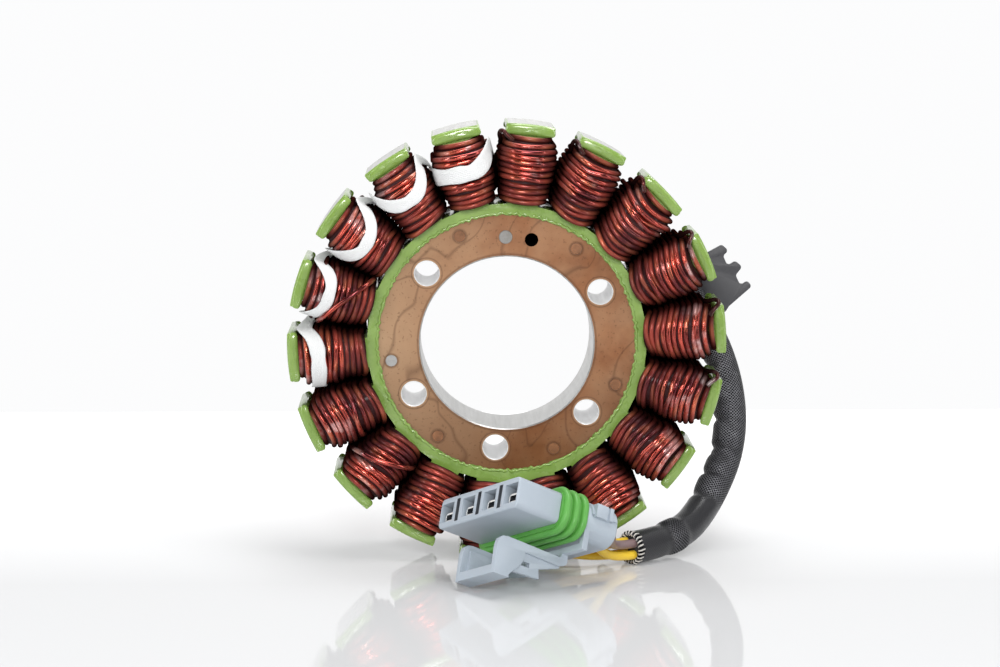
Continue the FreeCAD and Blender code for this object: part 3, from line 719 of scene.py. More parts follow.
def connectorReach(tree):
    # how far a place lies backwards, across and down from the middle of the connector's front face
    origin = tuple(Vector(connectorAxes["origin"]) * mm)
    fromFace = vectorCalc(tree, "SUBTRACT", objectSpace(tree), origin, "Vector")
    return [vectorCalc(tree, "DOT_PRODUCT", fromFace, tuple(way)) for way in connectorFrame()]


def darken(tree, mask, color):
    shader = tree.nodes["Principled BSDF"]
    before = shader.inputs["Base Color"].links[0].from_socket
    dress(tree, shader, color=mixColor(tree, mask, before, color))


def within(tree, value, half):
    return calc(tree, "LESS_THAN", calc(tree, "ABSOLUTE", value), half)


def shadeCells(material, values):
    # the connector's cells darken by a ramp on the distance back from its front face, within the cells'
    # height and the row's width only; the slots between them, half a pitch from each cell, are all dark
    tree = material.node_tree
    back, across, down = connectorReach(tree)
    offSlot = calc(tree, "PINGPONG", across, connectorAxes["pitch"] * mm / 2)
    depth = ramp(tree, back, *values["darkFrom"])
    depth = calc(tree, "MAXIMUM", depth, calc(tree, "LESS_THAN", offSlot, values["slotHalfWidth"]))
    inside = times(
        tree,
        calc(tree, "LESS_THAN", back, values["depth"]),
        within(tree, across, values["halfWidth"]),
        within(tree, down, values["halfHeight"]),
    )
    darken(tree, times(tree, inside, depth, 0.93), values["dark"])


def shadeContacts(material, values):
    # the inside of each folded contact is dark: within half its bore, across and down, of its way's middle
    tree = material.node_tree
    _, across, down = connectorReach(tree)
    halfPitch = connectorAxes["pitch"] * mm / 2
    offWay = calc(tree, "PINGPONG", calc(tree, "ADD", across, halfPitch), halfPitch)
    lower = calc(tree, "SUBTRACT", down, values["contactDrop"])
    inWidth = calc(tree, "LESS_THAN", offWay, values["boreHalfWidth"])
    inside = times(tree, inWidth, within(tree, lower, values["boreHalfHeight"]))
    darken(tree, inside, values["dark"])
    metallic = metalLooks["tinnedContact"][3]
    dress(tree, tree.nodes["Principled BSDF"], metallic=between(tree, inside, metallic, 0.0))


steelFinish = laminationMaterial(laminationLook)
rivetFinish = rivetMaterial(laminationLook)
coatFinish = coatMaterial(coatLook)
wireFinish = enamelMaterial("enamelledWire", enamelLook)
# the coils' ends: a darker enamel
darkEndFinish = enamelMaterial("darkWireEnds", darkEndLook)
poolFinish = poolMaterial(poolLook)
sleeveFinish = sleeveMaterial(sleeveLook)
tapeFinish = tapeMaterial(tapeLook)
moulded = {name: mouldedMaterial(name) for name in mouldedLooks}
metals = {name: metalMaterial(name) for name in metalLooks}
shadeCells(moulded["housingPlastic"], cellLook)
shadeContacts(metals["tinnedContact"], cellLook)
print("materials ready")


def paintNode(name, material):
    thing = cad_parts[name]
    if not thing.data.materials:
        thing.data.materials.append(material)
    for slot in thing.material_slots:
        slot.material = material


# Table and studio
def stageMaterial(setup):
    # painted light: a white sheet that glows by emission though it is no lamp; its colour and glow rise from
    # the near values to the far ones by a ramp on y
    material, tree, shader = newMaterial("tableTop", roughness=setup["roughness"], ior=setup["ior"])
    far = ramp(tree, splitOf(tree, objectSpace(tree))[1], setup["fadeStart"], setup["fadeEnd"])
    dress(tree, shader, color=mixColor(tree, far, setup["color"], setup["farLitColor"]))
    feed(tree, shader.inputs["Emission Color"], (1, 1, 1))
    feed(tree, shader.inputs["Emission Strength"], between(tree, far, setup["glow"], setup["farGlow"]))
    return material


def addTable(setup):
    half, front, back, z = setup["halfWidth"], setup["front"], setup["back"], tableHeight * mm
    mesh = bpy.data.meshes.new("table")
    corners = [(-half, front, z), (half, front, z), (half, back, z), (-half, back, z)]
    mesh.from_pydata(corners, [], [(0, 1, 2, 3)])
    table = bpy.data.objects.new("table", mesh)
    table.data.materials.append(stageMaterial(setup))
    scene.collection.objects.link(table)


def studioWorld(setup):
    # seen directly: near white; in reflections: a white wall behind and a dark room on the viewer's side,
    # blended by the ray's direction along y; for diffuse light: an even soft sky
    world = bpy.data.worlds.new("studio")
    scene.world = world
    world.use_nodes = True
    tree = world.node_tree
    tree.nodes.clear()
    way = splitOf(tree, node(tree, "ShaderNodeTexCoord").outputs["Generated"])[1]
    behind = ramp(tree, way, *setup["wallFrom"])
    room, wall = ((setup[key],) * 3 for key in ("room", "backdrop"))
    rays = node(tree, "ShaderNodeLightPath").outputs
    shades = []
    for color, strength in (
        ((1, 1, 1), setup["sky"]),
        (mixColor(tree, behind, room, wall), 1.0),
        (setup["seen"], 1.0),
    ):
        shade = node(tree, "ShaderNodeBackground")
        feed(tree, shade.inputs["Color"], color)
        feed(tree, shade.inputs["Strength"], strength)
        shades.append(shade.outputs[0])
    shown = calc(tree, "ADD", rays["Is Camera Ray"], rays["Is Transmission Ray"], clamp=True)
    result = shades[0]
    for share, shade in ((rays["Is Glossy Ray"], shades[1]), (shown, shades[2])):
        mixed = node(tree, "ShaderNodeMixShader")
        for socket, value in zip(mixed.inputs, (share, result, shade)):
            link(tree, value, socket)
        result = mixed.outputs[0]
    link(tree, result, node(tree, "ShaderNodeOutputWorld").inputs[0])


addTable(tableSetup)
studioWorld(worldSetup)
print("studio ready")


# Grids of points made into meshes
def gridPart(points, closeRows, closeColumns, rowCoord=None, columnCoord=None, caps=False, slotIndex=0):
    # quads between neighbouring points of an n by m grid; a corner's uv is its place, in millimetres,
    # along the rows and along the columns
    n, m = points.shape[:2]
    rows = np.arange(n if closeRows else n - 1)
    columns = np.arange(m if closeColumns else m - 1)
    i, j = np.meshgrid(rows, columns, indexing="ij")
    i, j = i.ravel(), j.ravel()
    i2, j2 = (i + 1) % n, (j + 1) % m
    quads = np.stack([i * m + j, i * m + j2, i2 * m + j2, i2 * m + j], 1)
    if rowCoord is None:
        rowCoord = np.linspace(0, 1, n + 1)
    if columnCoord is None:
        columnCoord = np.linspace(0, 1, m + 1)
    uv = np.stack([
        np.stack([rowCoord[i], columnCoord[j]], 1),
        np.stack([rowCoord[i], columnCoord[j + 1]], 1),
        np.stack([rowCoord[i + 1], columnCoord[j + 1]], 1),
        np.stack([rowCoord[i + 1], columnCoord[j]], 1),
    ], 1)
    faces = quads.tolist()
    uvs = uv.reshape(-1, 2)
    if caps:
        faces += [list(range(m))[::-1], list(range((n - 1) * m, n * m))]
        uvs = np.vstack([uvs, np.tile([rowCoord[0], 0], (m, 1)), np.tile([rowCoord[-1], 0], (m, 1))])
    return {"points": points.reshape(-1, 3), "faces": faces, "uv": uvs, "slot": slotIndex}


def outward(mesh):
    shape = bmesh.new()
    shape.from_mesh(mesh)
    bmesh.ops.recalc_face_normals(shape, faces=shape.faces)
    shape.to_mesh(mesh)
    shape.free()


def makePiece(name, parts, materials):
    points = np.vstack([part["points"] for part in parts])
    faces = []
    slots = []
    offset = 0
    for part in parts:
        faces += [[k + offset for k in face] for face in part["faces"]]
        slots += [part["slot"]] * len(part["faces"])
        offset += len(part["points"])
    mesh = bpy.data.meshes.new(name)
    mesh.from_pydata((points * mm).tolist(), [], faces)
    layer = mesh.uv_layers.new(name="path")
    layer.data.foreach_set("uv", (np.vstack([part["uv"] for part in parts]) * mm).ravel())
    mesh.polygons.foreach_set("material_index", slots)
    mesh.polygons.foreach_set("use_smooth", [True] * len(faces))
    for material in materials:
        mesh.materials.append(material)
    outward(mesh)
    piece = bpy.data.objects.new(name, mesh)
    scene.collection.objects.link(piece)
    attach(piece, "root")
    return piece


def turnToPole(points, number):
    # clockwise turn about the stator's axis, seen from the front: x' = x cos + z sin, z' = z cos - x sin
    angle = math.radians(poleAngle(number))
    c, s = math.cos(angle), math.sin(angle)
    turned = points.copy()
    turned[..., 0] = points[..., 0] * c + points[..., 2] * s
    turned[..., 2] = points[..., 2] * c - points[..., 0] * s
    return turned


def roundTube(centres, radius, sides):
    # a circle of the given radius carried along the centres, square to the path, by a frame without twist
    ahead = np.gradient(centres, axis=0)
    ahead /= np.linalg.norm(ahead, axis=1)[:, None]
    start = np.cross(ahead[0], [0.0, 0.0, 1.0])
    if np.linalg.norm(start) < 0.2:
        start = np.cross(ahead[0], [1.0, 0.0, 0.0])
    side = np.zeros_like(centres)
    side[0] = start / np.linalg.norm(start)
    for k in range(1, len(centres)):
        leaned = side[k - 1] - ahead[k] * (side[k - 1] @ ahead[k])
        side[k] = leaned / np.linalg.norm(leaned)
    other = np.cross(ahead, side)
    phi = np.linspace(0, 2 * np.pi, sides, endpoint=False)
    radii = np.broadcast_to(np.asarray(radius, float), (len(centres),))
    ring = np.cos(phi)[None, :, None] * side[:, None, :] + np.sin(phi)[None, :, None] * other[:, None, :]
    return centres[:, None, :] + ring * radii[:, None, None]


# The windings: twelve round turns a coil over a body of varnish
windingSetup = {
    "turns": 12,
    "wireRadius": 0.725,
    "sides": 10,
    "bottom": 40.108,
    "top": 58.9,
    "rootHalf": 6.6,
    "flankSlope": 0.15,
    "peakHalf": 8.25,
    "shoulderStart": 13.9,
    "shoulderRadius": 5.2,
    "flatHalf": 2.4,
    "front": -0.25,
    "rear": 25.65,
    "toothHalf": 4.36,
    "toothFront": -0.61,
    "toothRear": 26.01,
    "stepStart": 0.88,
    "arch": 1.7,
    "wander": 0.20,
    "ripple": (0.5, 3),  # share of the wander, waves a lap
    "riseRipple": (0.4, 2),
    "climbOut": 0.95,  # in radii of the wire
    "sagFade": 3,  # below the top
    "sagAtTop": 0.25,
    "turnLean": 0.38,
    "lapCounts": (3, 7, 6, 6),
    "looseCount": 44,
    "hookRadius": 0.62,
    "hookSide": -1,
    "hookCount": 40,
    "hookWander": 0.4,
    "bodyCounts": (3, 5, 12, 6),
    "bodyLevels": 22,
    "bodyUnder": 0.15,
    "bodySag": 0.9,  # share of the turns' sag
    "bodyInside": 2,
    "varnishDepth": 0.42,
    "varnishCover": 0.3,
    "tongueShift": 0.17,
    "tongueWidth": 0.11,
    "tonguePast": 0.2,
    "tongueLow": 41.2,
    "tongueHigh": 54.0,
    "tongueStart": 1.2,
    "tongueEnd": 3.0,
}
# how far the front of each coil sags towards the bore, in mm, coil 1 first
coilSag = (0.6, 1.5, 2.0, 2.0, 1.9, 1.7, 1.6, 1.5, 1.2, 0.8, 0.9, 1.4, 1.0, 0.4, 0.9, 0.5, 0.5, 0.6)
# turns that lean, rising this many mm from the coil's one side to the other
coilLean = {3: 0.5, 6: -0.4, 8: 0.6, 9: -0.5, 12: 2.6, 13: 0.7, 16: 0.5}
# turns that have climbed on their neighbour: coil, turn, place round the lap, spread
climbs = [
    (1, 4, 0.50, 0.10), (2, 9, 0.42, 0.08), (3, 7, 0.55, 0.12), (4, 3, 0.44, 0.09), (5, 8, 0.56, 0.10),
    (6, 5, 0.48, 0.07), (7, 6, 0.58, 0.12), (8, 2, 0.45, 0.10), (9, 9, 0.52, 0.09), (10, 5, 0.43, 0.09),
    (12, 7, 0.52, 0.14), (13, 4, 0.57, 0.10), (16, 2, 0.46, 0.10), (18, 3, 0.55, 0.08),
]
# single wires laid over a coil's front, as points across, behind and up its tooth
looseWires = {
    15: [(-8.6, 6, 53.4), (-9.0, 0, 53.2), (-7.6, -5.2, 52.4), (-3, -7.5, 49.4), (3, -7.4, 44.6),
         (6.6, -5.0, 41.6), (7.4, 0, 40.8), (7.0, 6, 41)],
    12: [(8.6, 5, 52.6), (9.0, 0, 52.2), (7.2, -5.6, 51.0), (1.5, -7.5, 48.6), (-4.5, -6.9, 45.0),
         (-7.6, -2.5, 43.6), (-7.6, 5, 43.4)],
}
hookedCoils = (1, 2, 3, 4, 5, 6)


def crestHalfWidth(z, form):
    # half the coil's width: a taper up the tooth, then a quarter-round shoulder
    rise = z - form["bottom"]
    half = np.minimum(form["rootHalf"] + form["flankSlope"] * rise, form["peakHalf"])
    radius = form["shoulderRadius"]
    past = np.clip(rise - form["shoulderStart"], 0, 0.95 * radius)
    return half - radius + np.sqrt(radius**2 - past**2)


def planLoop(form, rearCount, cornerCount, flankCount, frontCount):
    # one lap round the tooth from the middle of its rear: places on a small rectangle and the ways out
    flat, front, rear = form["flatHalf"], form["front"], form["rear"]
    stretches = [
        ((0, rear), (flat, rear), 90, 90, rearCount),
        ((flat, rear), (flat, rear), 90, 0, cornerCount),
        ((flat, rear), (flat, front), 0, 0, flankCount),
        ((flat, front), (flat, front), 0, -90, cornerCount),
        ((flat, front), (-flat, front), -90, -90, frontCount),
        ((-flat, front), (-flat, front), -90, -180, cornerCount),
        ((-flat, front), (-flat, rear), -180, -180, flankCount),
        ((-flat, rear), (-flat, rear), -180, -270, cornerCount),
        ((-flat, rear), (0, rear), -270, -270, rearCount),
    ]
    places = []
    ways = []
    for start, end, angleFrom, angleTo, count in stretches:
        share = np.linspace(0, 1, count, endpoint=False)[:, None]
        places.append(np.array(start) * (1 - share) + np.array(end) * share)
        angle = np.radians(angleFrom + (angleTo - angleFrom) * share[:, 0])
        ways.append(np.stack([np.cos(angle), np.sin(angle)], 1))
    return np.vstack(places), np.vstack(ways)


def smoothStep(value):
    # 3 t^2 - 2 t^3, with t held between 0 and 1
    t = np.clip(value, 0, 1)
    return t * t * (3 - 2 * t)


def waves(random, spread, around, counts):
    # a sum of sines round a lap, each of a random size and phase
    return sum(random.normal(0, spread) * np.sin(k * around + random.uniform(0, 6)) for k in counts)


def lapDepth(places, ways, away, share, form):
    # how far back a lap lies: its front is arched forwards, most in the middle, by the arch x (1/4 - share^2)
    return places[:, 1] + ways[:, 1] * away - form["arch"] * np.clip(-ways[:, 1], 0, 1) * (0.25 - share**2)


def turnCentres(number, form):
    # a helix round the tooth: level but for a step to the next turn on the rear, a sag and a lean on the
    # front, and differences from turn to turn that blend on the rear. The room left over makes uneven gaps
    places, ways = planLoop(form, *form["lapCounts"])
    count = len(places)
    turns = form["turns"]
    diameter = 2 * form["wireRadius"]
    lap = np.arange(count) / count
    step = smoothStep((lap - form["stepStart"]) / (1 - form["stepStart"]))[None, :]
    turn = np.arange(turns)[:, None]
    random = np.random.default_rng(number)
    loose = random.normal(0, 1, (4, turns + 1))
    out, lean, wave, phase = (row[:-1, None] * (1 - step) + row[1:, None] * step for row in loose)
    gaps = random.exponential(1, turns + 1)
    gaps *= (form["top"] - form["bottom"] - turns * diameter) / gaps.sum()
    levels = form["bottom"] + form["wireRadius"] + diameter * np.arange(turns) + np.cumsum(gaps)[:-1]
    levels = np.append(levels, form["top"] - form["wireRadius"])
    level = levels[:-1, None] * (1 - step) + levels[1:, None] * step
    half = crestHalfWidth(level, form)
    away = np.maximum(half - form["flatHalf"] - form["wireRadius"],
                      form["toothHalf"] + form["wireRadius"] - form["flatHalf"])
    room = np.clip((form["top"] - level) / form["sagFade"], form["sagAtTop"], 1)
    size, rate = form["ripple"]
    away = away + form["wander"] * out + size * form["wander"] * np.sin(2 * np.pi * lap * rate + 3 * phase)
    size, rate = form["riseRipple"]
    z = level + size * form["wander"] * wave * np.sin(2 * np.pi * lap * rate + phase)
    for coil, raised, middle, spread in climbs:
        if coil == number:
            lift = np.exp(-((lap - middle) / spread) ** 2)[None, :] * (turn == raised)
            away = away + form["climbOut"] * form["wireRadius"] * lift
            z = z + form["wireRadius"] * lift
    x = places[:, 0] + ways[:, 0] * away
    share = np.clip(x / (form["flatHalf"] + away), -1, 1)
    facing = np.clip(-ways[:, 1], 0, 1)[None, :]
    y = lapDepth(places, ways, away, share, form)
    z = z - coilSag[number - 1] * (1 - share**2) * (facing > 0) * room
    z = z + (0.5 * coilLean.get(number, 0) + form["turnLean"] * lean) * share * facing * room
    return np.stack([x, y, z], 2).reshape(-1, 3)


def varnishBody(number, form):
    # a ring round the tooth that fills the coil up to the valleys between the turns. Pooled varnish closes
    # the slots: a bell-shaped tongue past the slot's middle, nearer the front on one side than on the other
    places, ways = planLoop(form, *form["bodyCounts"])
    cover = form["varnishCover"]
    bottom, top = form["bottom"] - form["bodyUnder"], form["top"] - cover
    levels = np.linspace(bottom, top, form["bodyLevels"])[:, None]
    away = np.maximum(
        crestHalfWidth(levels, form) - form["flatHalf"] - form["wireRadius"] - form["varnishDepth"] + cover,
        form["toothHalf"] - form["flatHalf"] + cover,
    )
    depth = (places[:, 1] - form["front"]) / (form["rear"] - form["front"])
    middle = 0.5 - form["tongueShift"] * np.sign(ways[:, 0])
    onFlank = np.abs(ways[:, 0]) > 0.99
    tongue = np.exp(-((depth - middle) / form["tongueWidth"]) ** 2) * onFlank
    slotHalf = levels * math.tan(math.radians(poleStep / 2)) + form["tonguePast"] - form["flatHalf"]
    reach = smoothStep((levels - form["tongueLow"]) / form["tongueStart"])
    reach = reach * smoothStep((form["tongueHigh"] - levels) / form["tongueEnd"])
    away = away + (slotHalf - away) * tongue * reach
    x = places[:, 0] + ways[:, 0] * away
    share = np.clip(x / (form["flatHalf"] + away), -1, 1)
    y = lapDepth(places, ways, away, share, form)
    z = levels - form["bodySag"] * coilSag[number - 1] * (1 - share**2) * (ways[:, 1] < 0)
    outer = np.stack([x, y, z], 2)
    inner = places + form["bodyInside"] * ways
    innerX = np.clip(inner[:, 0], -form["toothHalf"], form["toothHalf"])
    innerY = np.clip(inner[:, 1], form["toothFront"], form["toothRear"])
    innerTop = np.stack([innerX, innerY, outer[-1, :, 2]], 1)[None]
    innerBottom = np.stack([innerX, innerY, np.full(len(innerX), form["bottom"])], 1)[None]
    return np.concatenate([outer, innerTop, innerBottom], 0)


def hookPoints(form, random):
    # the coil's end: up beside the shoe, round in a small loop and back into the gap
    side = form["hookSide"]
    a, b, c = random.uniform(-form["hookWander"], form["hookWander"], 3)
    return [(side * 4.6, -5.0, 57.2), (side * 6.2, -5.3 + a, 58.2), (side * 7.4, -4.8, 59.6 + 0.5 * b),
            (side * 8.5, -3.6 + c, 59.8 + b), (side * 8.7, -2.0, 58.4 + b), (side * 8.1, -0.6 + c, 57.0),
            (side * 8.0, 2.5, 56.0 + b), (side * 7.9, 8, 55.2)]


def windingPiece(number, form):
    # the turns, any loose wire and end of the coil, and the body of varnish
    sides = form["sides"]
    girth = 2 * np.pi * form["wireRadius"]
    paths = [(turnCentres(number, form), form["wireRadius"], 0)]
    if number in looseWires:
        paths.append((centreLine(looseWires[number], form["looseCount"])[0], form["wireRadius"], 0))
    if number in hookedCoils:
        hook = hookPoints(form, np.random.default_rng(100 + number))
        paths.append((centreLine(hook, form["hookCount"])[0], form["hookRadius"], 2))
    parts = []
    for path, radius, slotIndex in paths:
        length = np.concatenate([[0], np.cumsum(np.linalg.norm(np.diff(path, axis=0), axis=1))])
        coordU = np.append(length, length[-1])
        skin = roundTube(path, radius, sides)
        columns = np.linspace(0, girth, sides + 1)
        parts.append(gridPart(skin, False, True, coordU, columns, caps=True, slotIndex=slotIndex))
    parts.append(gridPart(varnishBody(number, form), True, True, slotIndex=1))
    for part in parts:
        part["points"] = turnToPole(part["points"], number)
    piece = makePiece("windingCoil%02d" % number, parts, [wireFinish, poolFinish, darkEndFinish])
    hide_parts("coil_%02d" % number)


# Lacing tapes
tapeSetup = {
    "thickness": 0.34,
    "lift": 0.76,
    "rearReach": 4.9,
    "rearPower": 3,
    "risePower": 3.2,
    "riseAtRear": 0.25,
    "aboveRoot": 2.2,
    "belowTop": 0.45,  # in widths
    "girth": 2.2,  # in widths
    "lapCounts": (8, 14, 12, 12),
    "wobble": 0.08,
    "settlings": 3,
    "smoothings": 14,
    "pinch": 0.12,
    # the band's section: across in widths, out in thicknesses
    "section": [(-0.5, -0.2), (-0.46, 0.32), (-0.25, 0.5), (0, 0.56), (0.25, 0.5), (0.46, 0.32), (0.5, -0.2),
                (0.25, -0.4), (-0.25, -0.4)],
    # coil, middle of the tape from the axis, rise at the left, rise at the right, width
    "laps": [
        (14, 52.9, 0.8, 4.4, 4.5),
        (15, 51.8, 6.0, 6.4, 3.5),
        (16, 48.6, 7.6, 9.0, 3.7),
        (17, 48.9, 6.8, 9.4, 3.9),
        (18, 49.6, 1.0, 6.4, 5.0),
    ],
}


def tapeLoop(number, middle, riseLeft, riseRight, width, setup, form):
    # a flat band round the coil: low on the front's middle, up the flanks and out over the splice behind
    places, ways = planLoop(form, *setup["lapCounts"])
    count = len(places)
    random = np.random.default_rng(300 + number)
    around = 2 * np.pi * np.arange(count) / count
    wobble = waves(random, setup["wobble"], around, (2, 3, 5))
    guess = np.full(count, float(middle))
    for _ in range(setup["settlings"]):
        away = crestHalfWidth(guess, form) - form["flatHalf"] + setup["lift"]
        behind = np.clip(ways[:, 1], 0, 1) ** setup["rearPower"]
        away = away + setup["rearReach"] * behind
        x = places[:, 0] + ways[:, 0] * away
        share = np.clip(x / (form["flatHalf"] + away), -1, 1)
        rise = np.where(share < 0, riseLeft, riseRight)
        front = np.abs(share) ** setup["risePower"] * (1 - np.clip(ways[:, 1], 0, 1))
        depth = np.clip(1 - (places[:, 1] - form["front"]) / (form["rear"] - form["front"]), 0, 1)
        riseShare = setup["riseAtRear"] + (1 - setup["riseAtRear"]) * depth
        guess = middle + rise * front * riseShare + wobble
        guess = np.clip(guess, form["bottom"] + setup["aboveRoot"], form["top"] - setup["belowTop"] * width)
    y = lapDepth(places, ways, away, share, form)
    centre = np.stack([x, y, guess], 1)
    for _ in range(setup["smoothings"]):
        centre = (np.roll(centre, 1, 0) + 2 * centre + np.roll(centre, -1, 0)) / 4
    ahead = np.roll(centre, -1, 0) - np.roll(centre, 1, 0)
    ahead /= np.linalg.norm(ahead, axis=1)[:, None]
    face = np.column_stack([ways, np.zeros(count)])
    across = np.cross(ahead, face)
    across /= np.linalg.norm(across, axis=1)[:, None]
    face = np.cross(across, ahead)
    wide = width * (1 - setup["pinch"] * np.sin(4 * around + number) ** 2)
    thick = setup["thickness"]
    rows = [centre + across * (w * wide)[:, None] + face * (t * thick) for w, t in setup["section"]]
    return np.stack(rows, 1), centre


def tapePiece(number, middle, riseLeft, riseRight, width, setup, form):
    band, centre = tapeLoop(number, middle, riseLeft, riseRight, width, setup, form)
    gaps = np.linalg.norm(np.roll(centre, -1, 0) - centre, axis=1)
    coordU = np.concatenate([[0], np.cumsum(gaps)])
    coordV = np.linspace(0, setup["girth"] * width, band.shape[1] + 1)
    part = gridPart(band, True, True, coordU, coordV)
    part["points"] = turnToPole(part["points"], number)
    piece = makePiece("tape%02d" % number, [part], [tapeFinish])
    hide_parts("lacing_tape_%02d" % number)


# The coat's rounded pads on the shoes, front and rear, and the bead along its inner edge
coatSetup = {
    "padHalfLength": 6.95,
    "padHalfHeight": 1.62,
    "padMiddle": 60.3,
    "padRise": 0.75,
    "padPower": 0.62,
    "padBend": 130,
    "padRings": 9,
    "padSides": 44,
    "ringPower": 0.6,
    "padSwell": 0.03,
    "padRipple": 0.05,
    "padSunk": 0.05,
    "edgeRadius": 36.62,
    "edgeCount": 540,
    "beadRadius": 0.42,
    "beadWander": 0.28,
    "beadFlat": 0.8,
    "beadSides": 8,
    "beadSunk": 0.15,
    "shakeWaves": (9, 160, 11),  # round the ring: first, limit, step
    "shakeSpread": 3.6,
    "thickWaves": (7, 140, 13),
    "thickSpread": 4.5,
    "thickShare": 0.35,
    "thickLimits": (0.2, 0.62),
    "front": -0.5,
    "rear": 25.9,
}


def shoePad(number, base, outwards, setup, random):
    # a superellipse, bent with the shoe, whose height falls from the middle as the square root of 1 - r^3
    rings = np.linspace(0, 1, setup["padRings"])[:, None] ** setup["ringPower"]
    theta = np.linspace(0, 2 * np.pi, setup["padSides"], endpoint=False)[None, :]
    power = setup["padPower"]
    swell = 1 + random.uniform(-setup["padSwell"], setup["padSwell"])
    x = setup["padHalfLength"] * swell * rings * np.sign(np.cos(theta)) * np.abs(np.cos(theta)) ** power
    rise = setup["padHalfHeight"] * rings * np.sign(np.sin(theta)) * np.abs(np.sin(theta)) ** power
    z = setup["padMiddle"] + rise - (x**2) / setup["padBend"]
    high = setup["padRise"] * np.sqrt(np.clip(1 - rings**3, 0, 1)) * np.ones_like(theta)
    high = high * (1 + setup["padRipple"] * np.sin(2 * theta + random.uniform(0, 6)))
    y = base + outwards * (high - setup["padSunk"])
    return turnToPole(np.stack([x, y, z], 2), number)


def edgeBead(base, setup, random):
    # a thick irregular line of coat: a tube round the axis whose distance and thickness follow a sum of sines
    theta = np.linspace(0, 2 * np.pi, setup["edgeCount"], endpoint=False)
    shake = waves(random, 1, theta, range(*setup["shakeWaves"])) / setup["shakeSpread"]
    thick = waves(random, 1, theta, range(*setup["thickWaves"])) / setup["thickSpread"]
    radius = setup["edgeRadius"] + setup["beadWander"] * shake
    centres = np.stack([radius * np.sin(theta), np.full_like(theta, base), radius * np.cos(theta)], 1)
    phi = np.linspace(0, 2 * np.pi, setup["beadSides"], endpoint=False)
    half = np.clip(setup["beadRadius"] * (1 + setup["thickShare"] * thick), *setup["thickLimits"])
    spoke = np.stack([np.sin(theta), np.zeros_like(theta), np.cos(theta)], 1)
    lift = np.array([0, setup["beadFlat"], 0])
    ring = np.cos(phi)[None, :, None] * spoke[:, None, :] + np.sin(phi)[None, :, None] * lift
    return centres[:, None, :] + ring * half[:, None, None]


def coatDetail(setup):
    random = np.random.default_rng(21)
    parts = []
    sides = ((setup["front"], -1), (setup["rear"], 1))
    for number in range(1, poleCount + 1):
        for base, outwards in sides:
            parts.append(gridPart(shoePad(number, base, outwards, setup, random), False, True))
    for base, outwards in sides:
        parts.append(gridPart(edgeBead(base - setup["beadSunk"] * outwards, setup, random), True, True))
    makePiece("coatDetail", parts, [coatFinish])


# Rounded copies of CAD nodes: node, piece, slot, width of the soft edges in mm, their segments
softPieces = {
    "housing": ("connector_housing", "connector", 0.25, 2),
    "toothCoat": ("epoxy_coat", "green_coat", 0.32, 3),
    "clampHook": ("clamp_plate", "clamp", 0.15, 2),
}
softCopySetup = {"merge": 2e-6, "flatWithin": 0.6, "sharpFrom": 32}


def softCopy(pieceName, material):
    # the node's mesh with doubles merged, flat faces joined and every sharp edge bevelled
    nodeName, recordSlot, width, segments = softPieces[pieceName]
    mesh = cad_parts[nodeName].data.copy()
    mesh.name = pieceName
    shape = bmesh.new()
    shape.from_mesh(mesh)
    bmesh.ops.remove_doubles(shape, verts=shape.verts, dist=softCopySetup["merge"])
    flat = math.radians(softCopySetup["flatWithin"])
    bmesh.ops.dissolve_limit(shape, angle_limit=flat, verts=shape.verts, edges=shape.edges)
    for face in shape.faces:
        face.smooth = True
        face.material_index = 0
    shape.to_mesh(mesh)
    shape.free()
    mesh.materials.clear()
    mesh.materials.append(material)
    piece = bpy.data.objects.new(pieceName, mesh)
    scene.collection.objects.link(piece)
    bevel = piece.modifiers.new("softEdges", "BEVEL")
    bevel.width = width * mm
    bevel.segments = segments
    bevel.limit_method = "ANGLE"
    bevel.angle_limit = math.radians(softCopySetup["sharpFrom"])
    bevel.harden_normals = True
    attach(piece, "root")
    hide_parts(nodeName)
    return piece


# The free lead: sleeve and wires
leadRoute = {
    "startRadius": 52.0,
    "startAngle": 60.0,
    "startY": 36.4,
    "firstRun": 25.0,
    "points": [(66, 35, -14), (67, 27, -33), (58.5, 16, -49.5), (48.6, 3.1, -57.4), (34.6, -8.2, -57.4)],
    "radius": 4.6,
    "rings": 420,
    "sides": 48,
    "foldDepth": 1.0,
    "foldBulge": 0.45,
    "foldPitch": 6.6,
    "firstFold": 40,
    "lastFold": 87,
    "foldShift": 1.6,
    "foldSlant": 1.5,
    "foldWidths": (1.0, 1.5),
    "foldStrengths": (0.6, 1.0),
    "foldsFrom": -0.75,  # cosine of the angle from the bend's inside
    "foldsFade": 1.6,
    "bulgeFade": 6,
    "collarFromMouth": 16.6,
    "collarHalfWidth": 3.0,
    "collarHeight": 0.42,
    "grooveFromCollar": 4.6,
    "grooveHalfWidth": 1.5,
    "grooveDepth": 0.12,
}
stitchSetup = {
    "count": 46,
    "radius": 0.22,
    "sides": 6,
    "aboveTable": 0.3,
    "shift": 0.15,  # in stitches
    "lengths": (0.7, 1.35),
    # ahead of the mouth, in from the skin, and round in stitches
    "places": ((-1.3, 0.0, -0.5), (-0.1, -0.15, -0.2), (0.45, 0.35, 0.1), (0.1, 0.9, 0.35), (-0.6, 1.1, 0.5)),
}
wireRoute = {
    "hoodFloor": 25.9,
    "firstRun": 9.5,
    "lastRun": 9.5,
    "circle": 2.3,
    "radius": 1.3,
    "count": 60,
    "freeFrom": 30,  # mm of length
}


def onRing(radius, angle, y):
    turn = math.radians(angle)
    return (radius * math.sin(turn), y, radius * math.cos(turn))


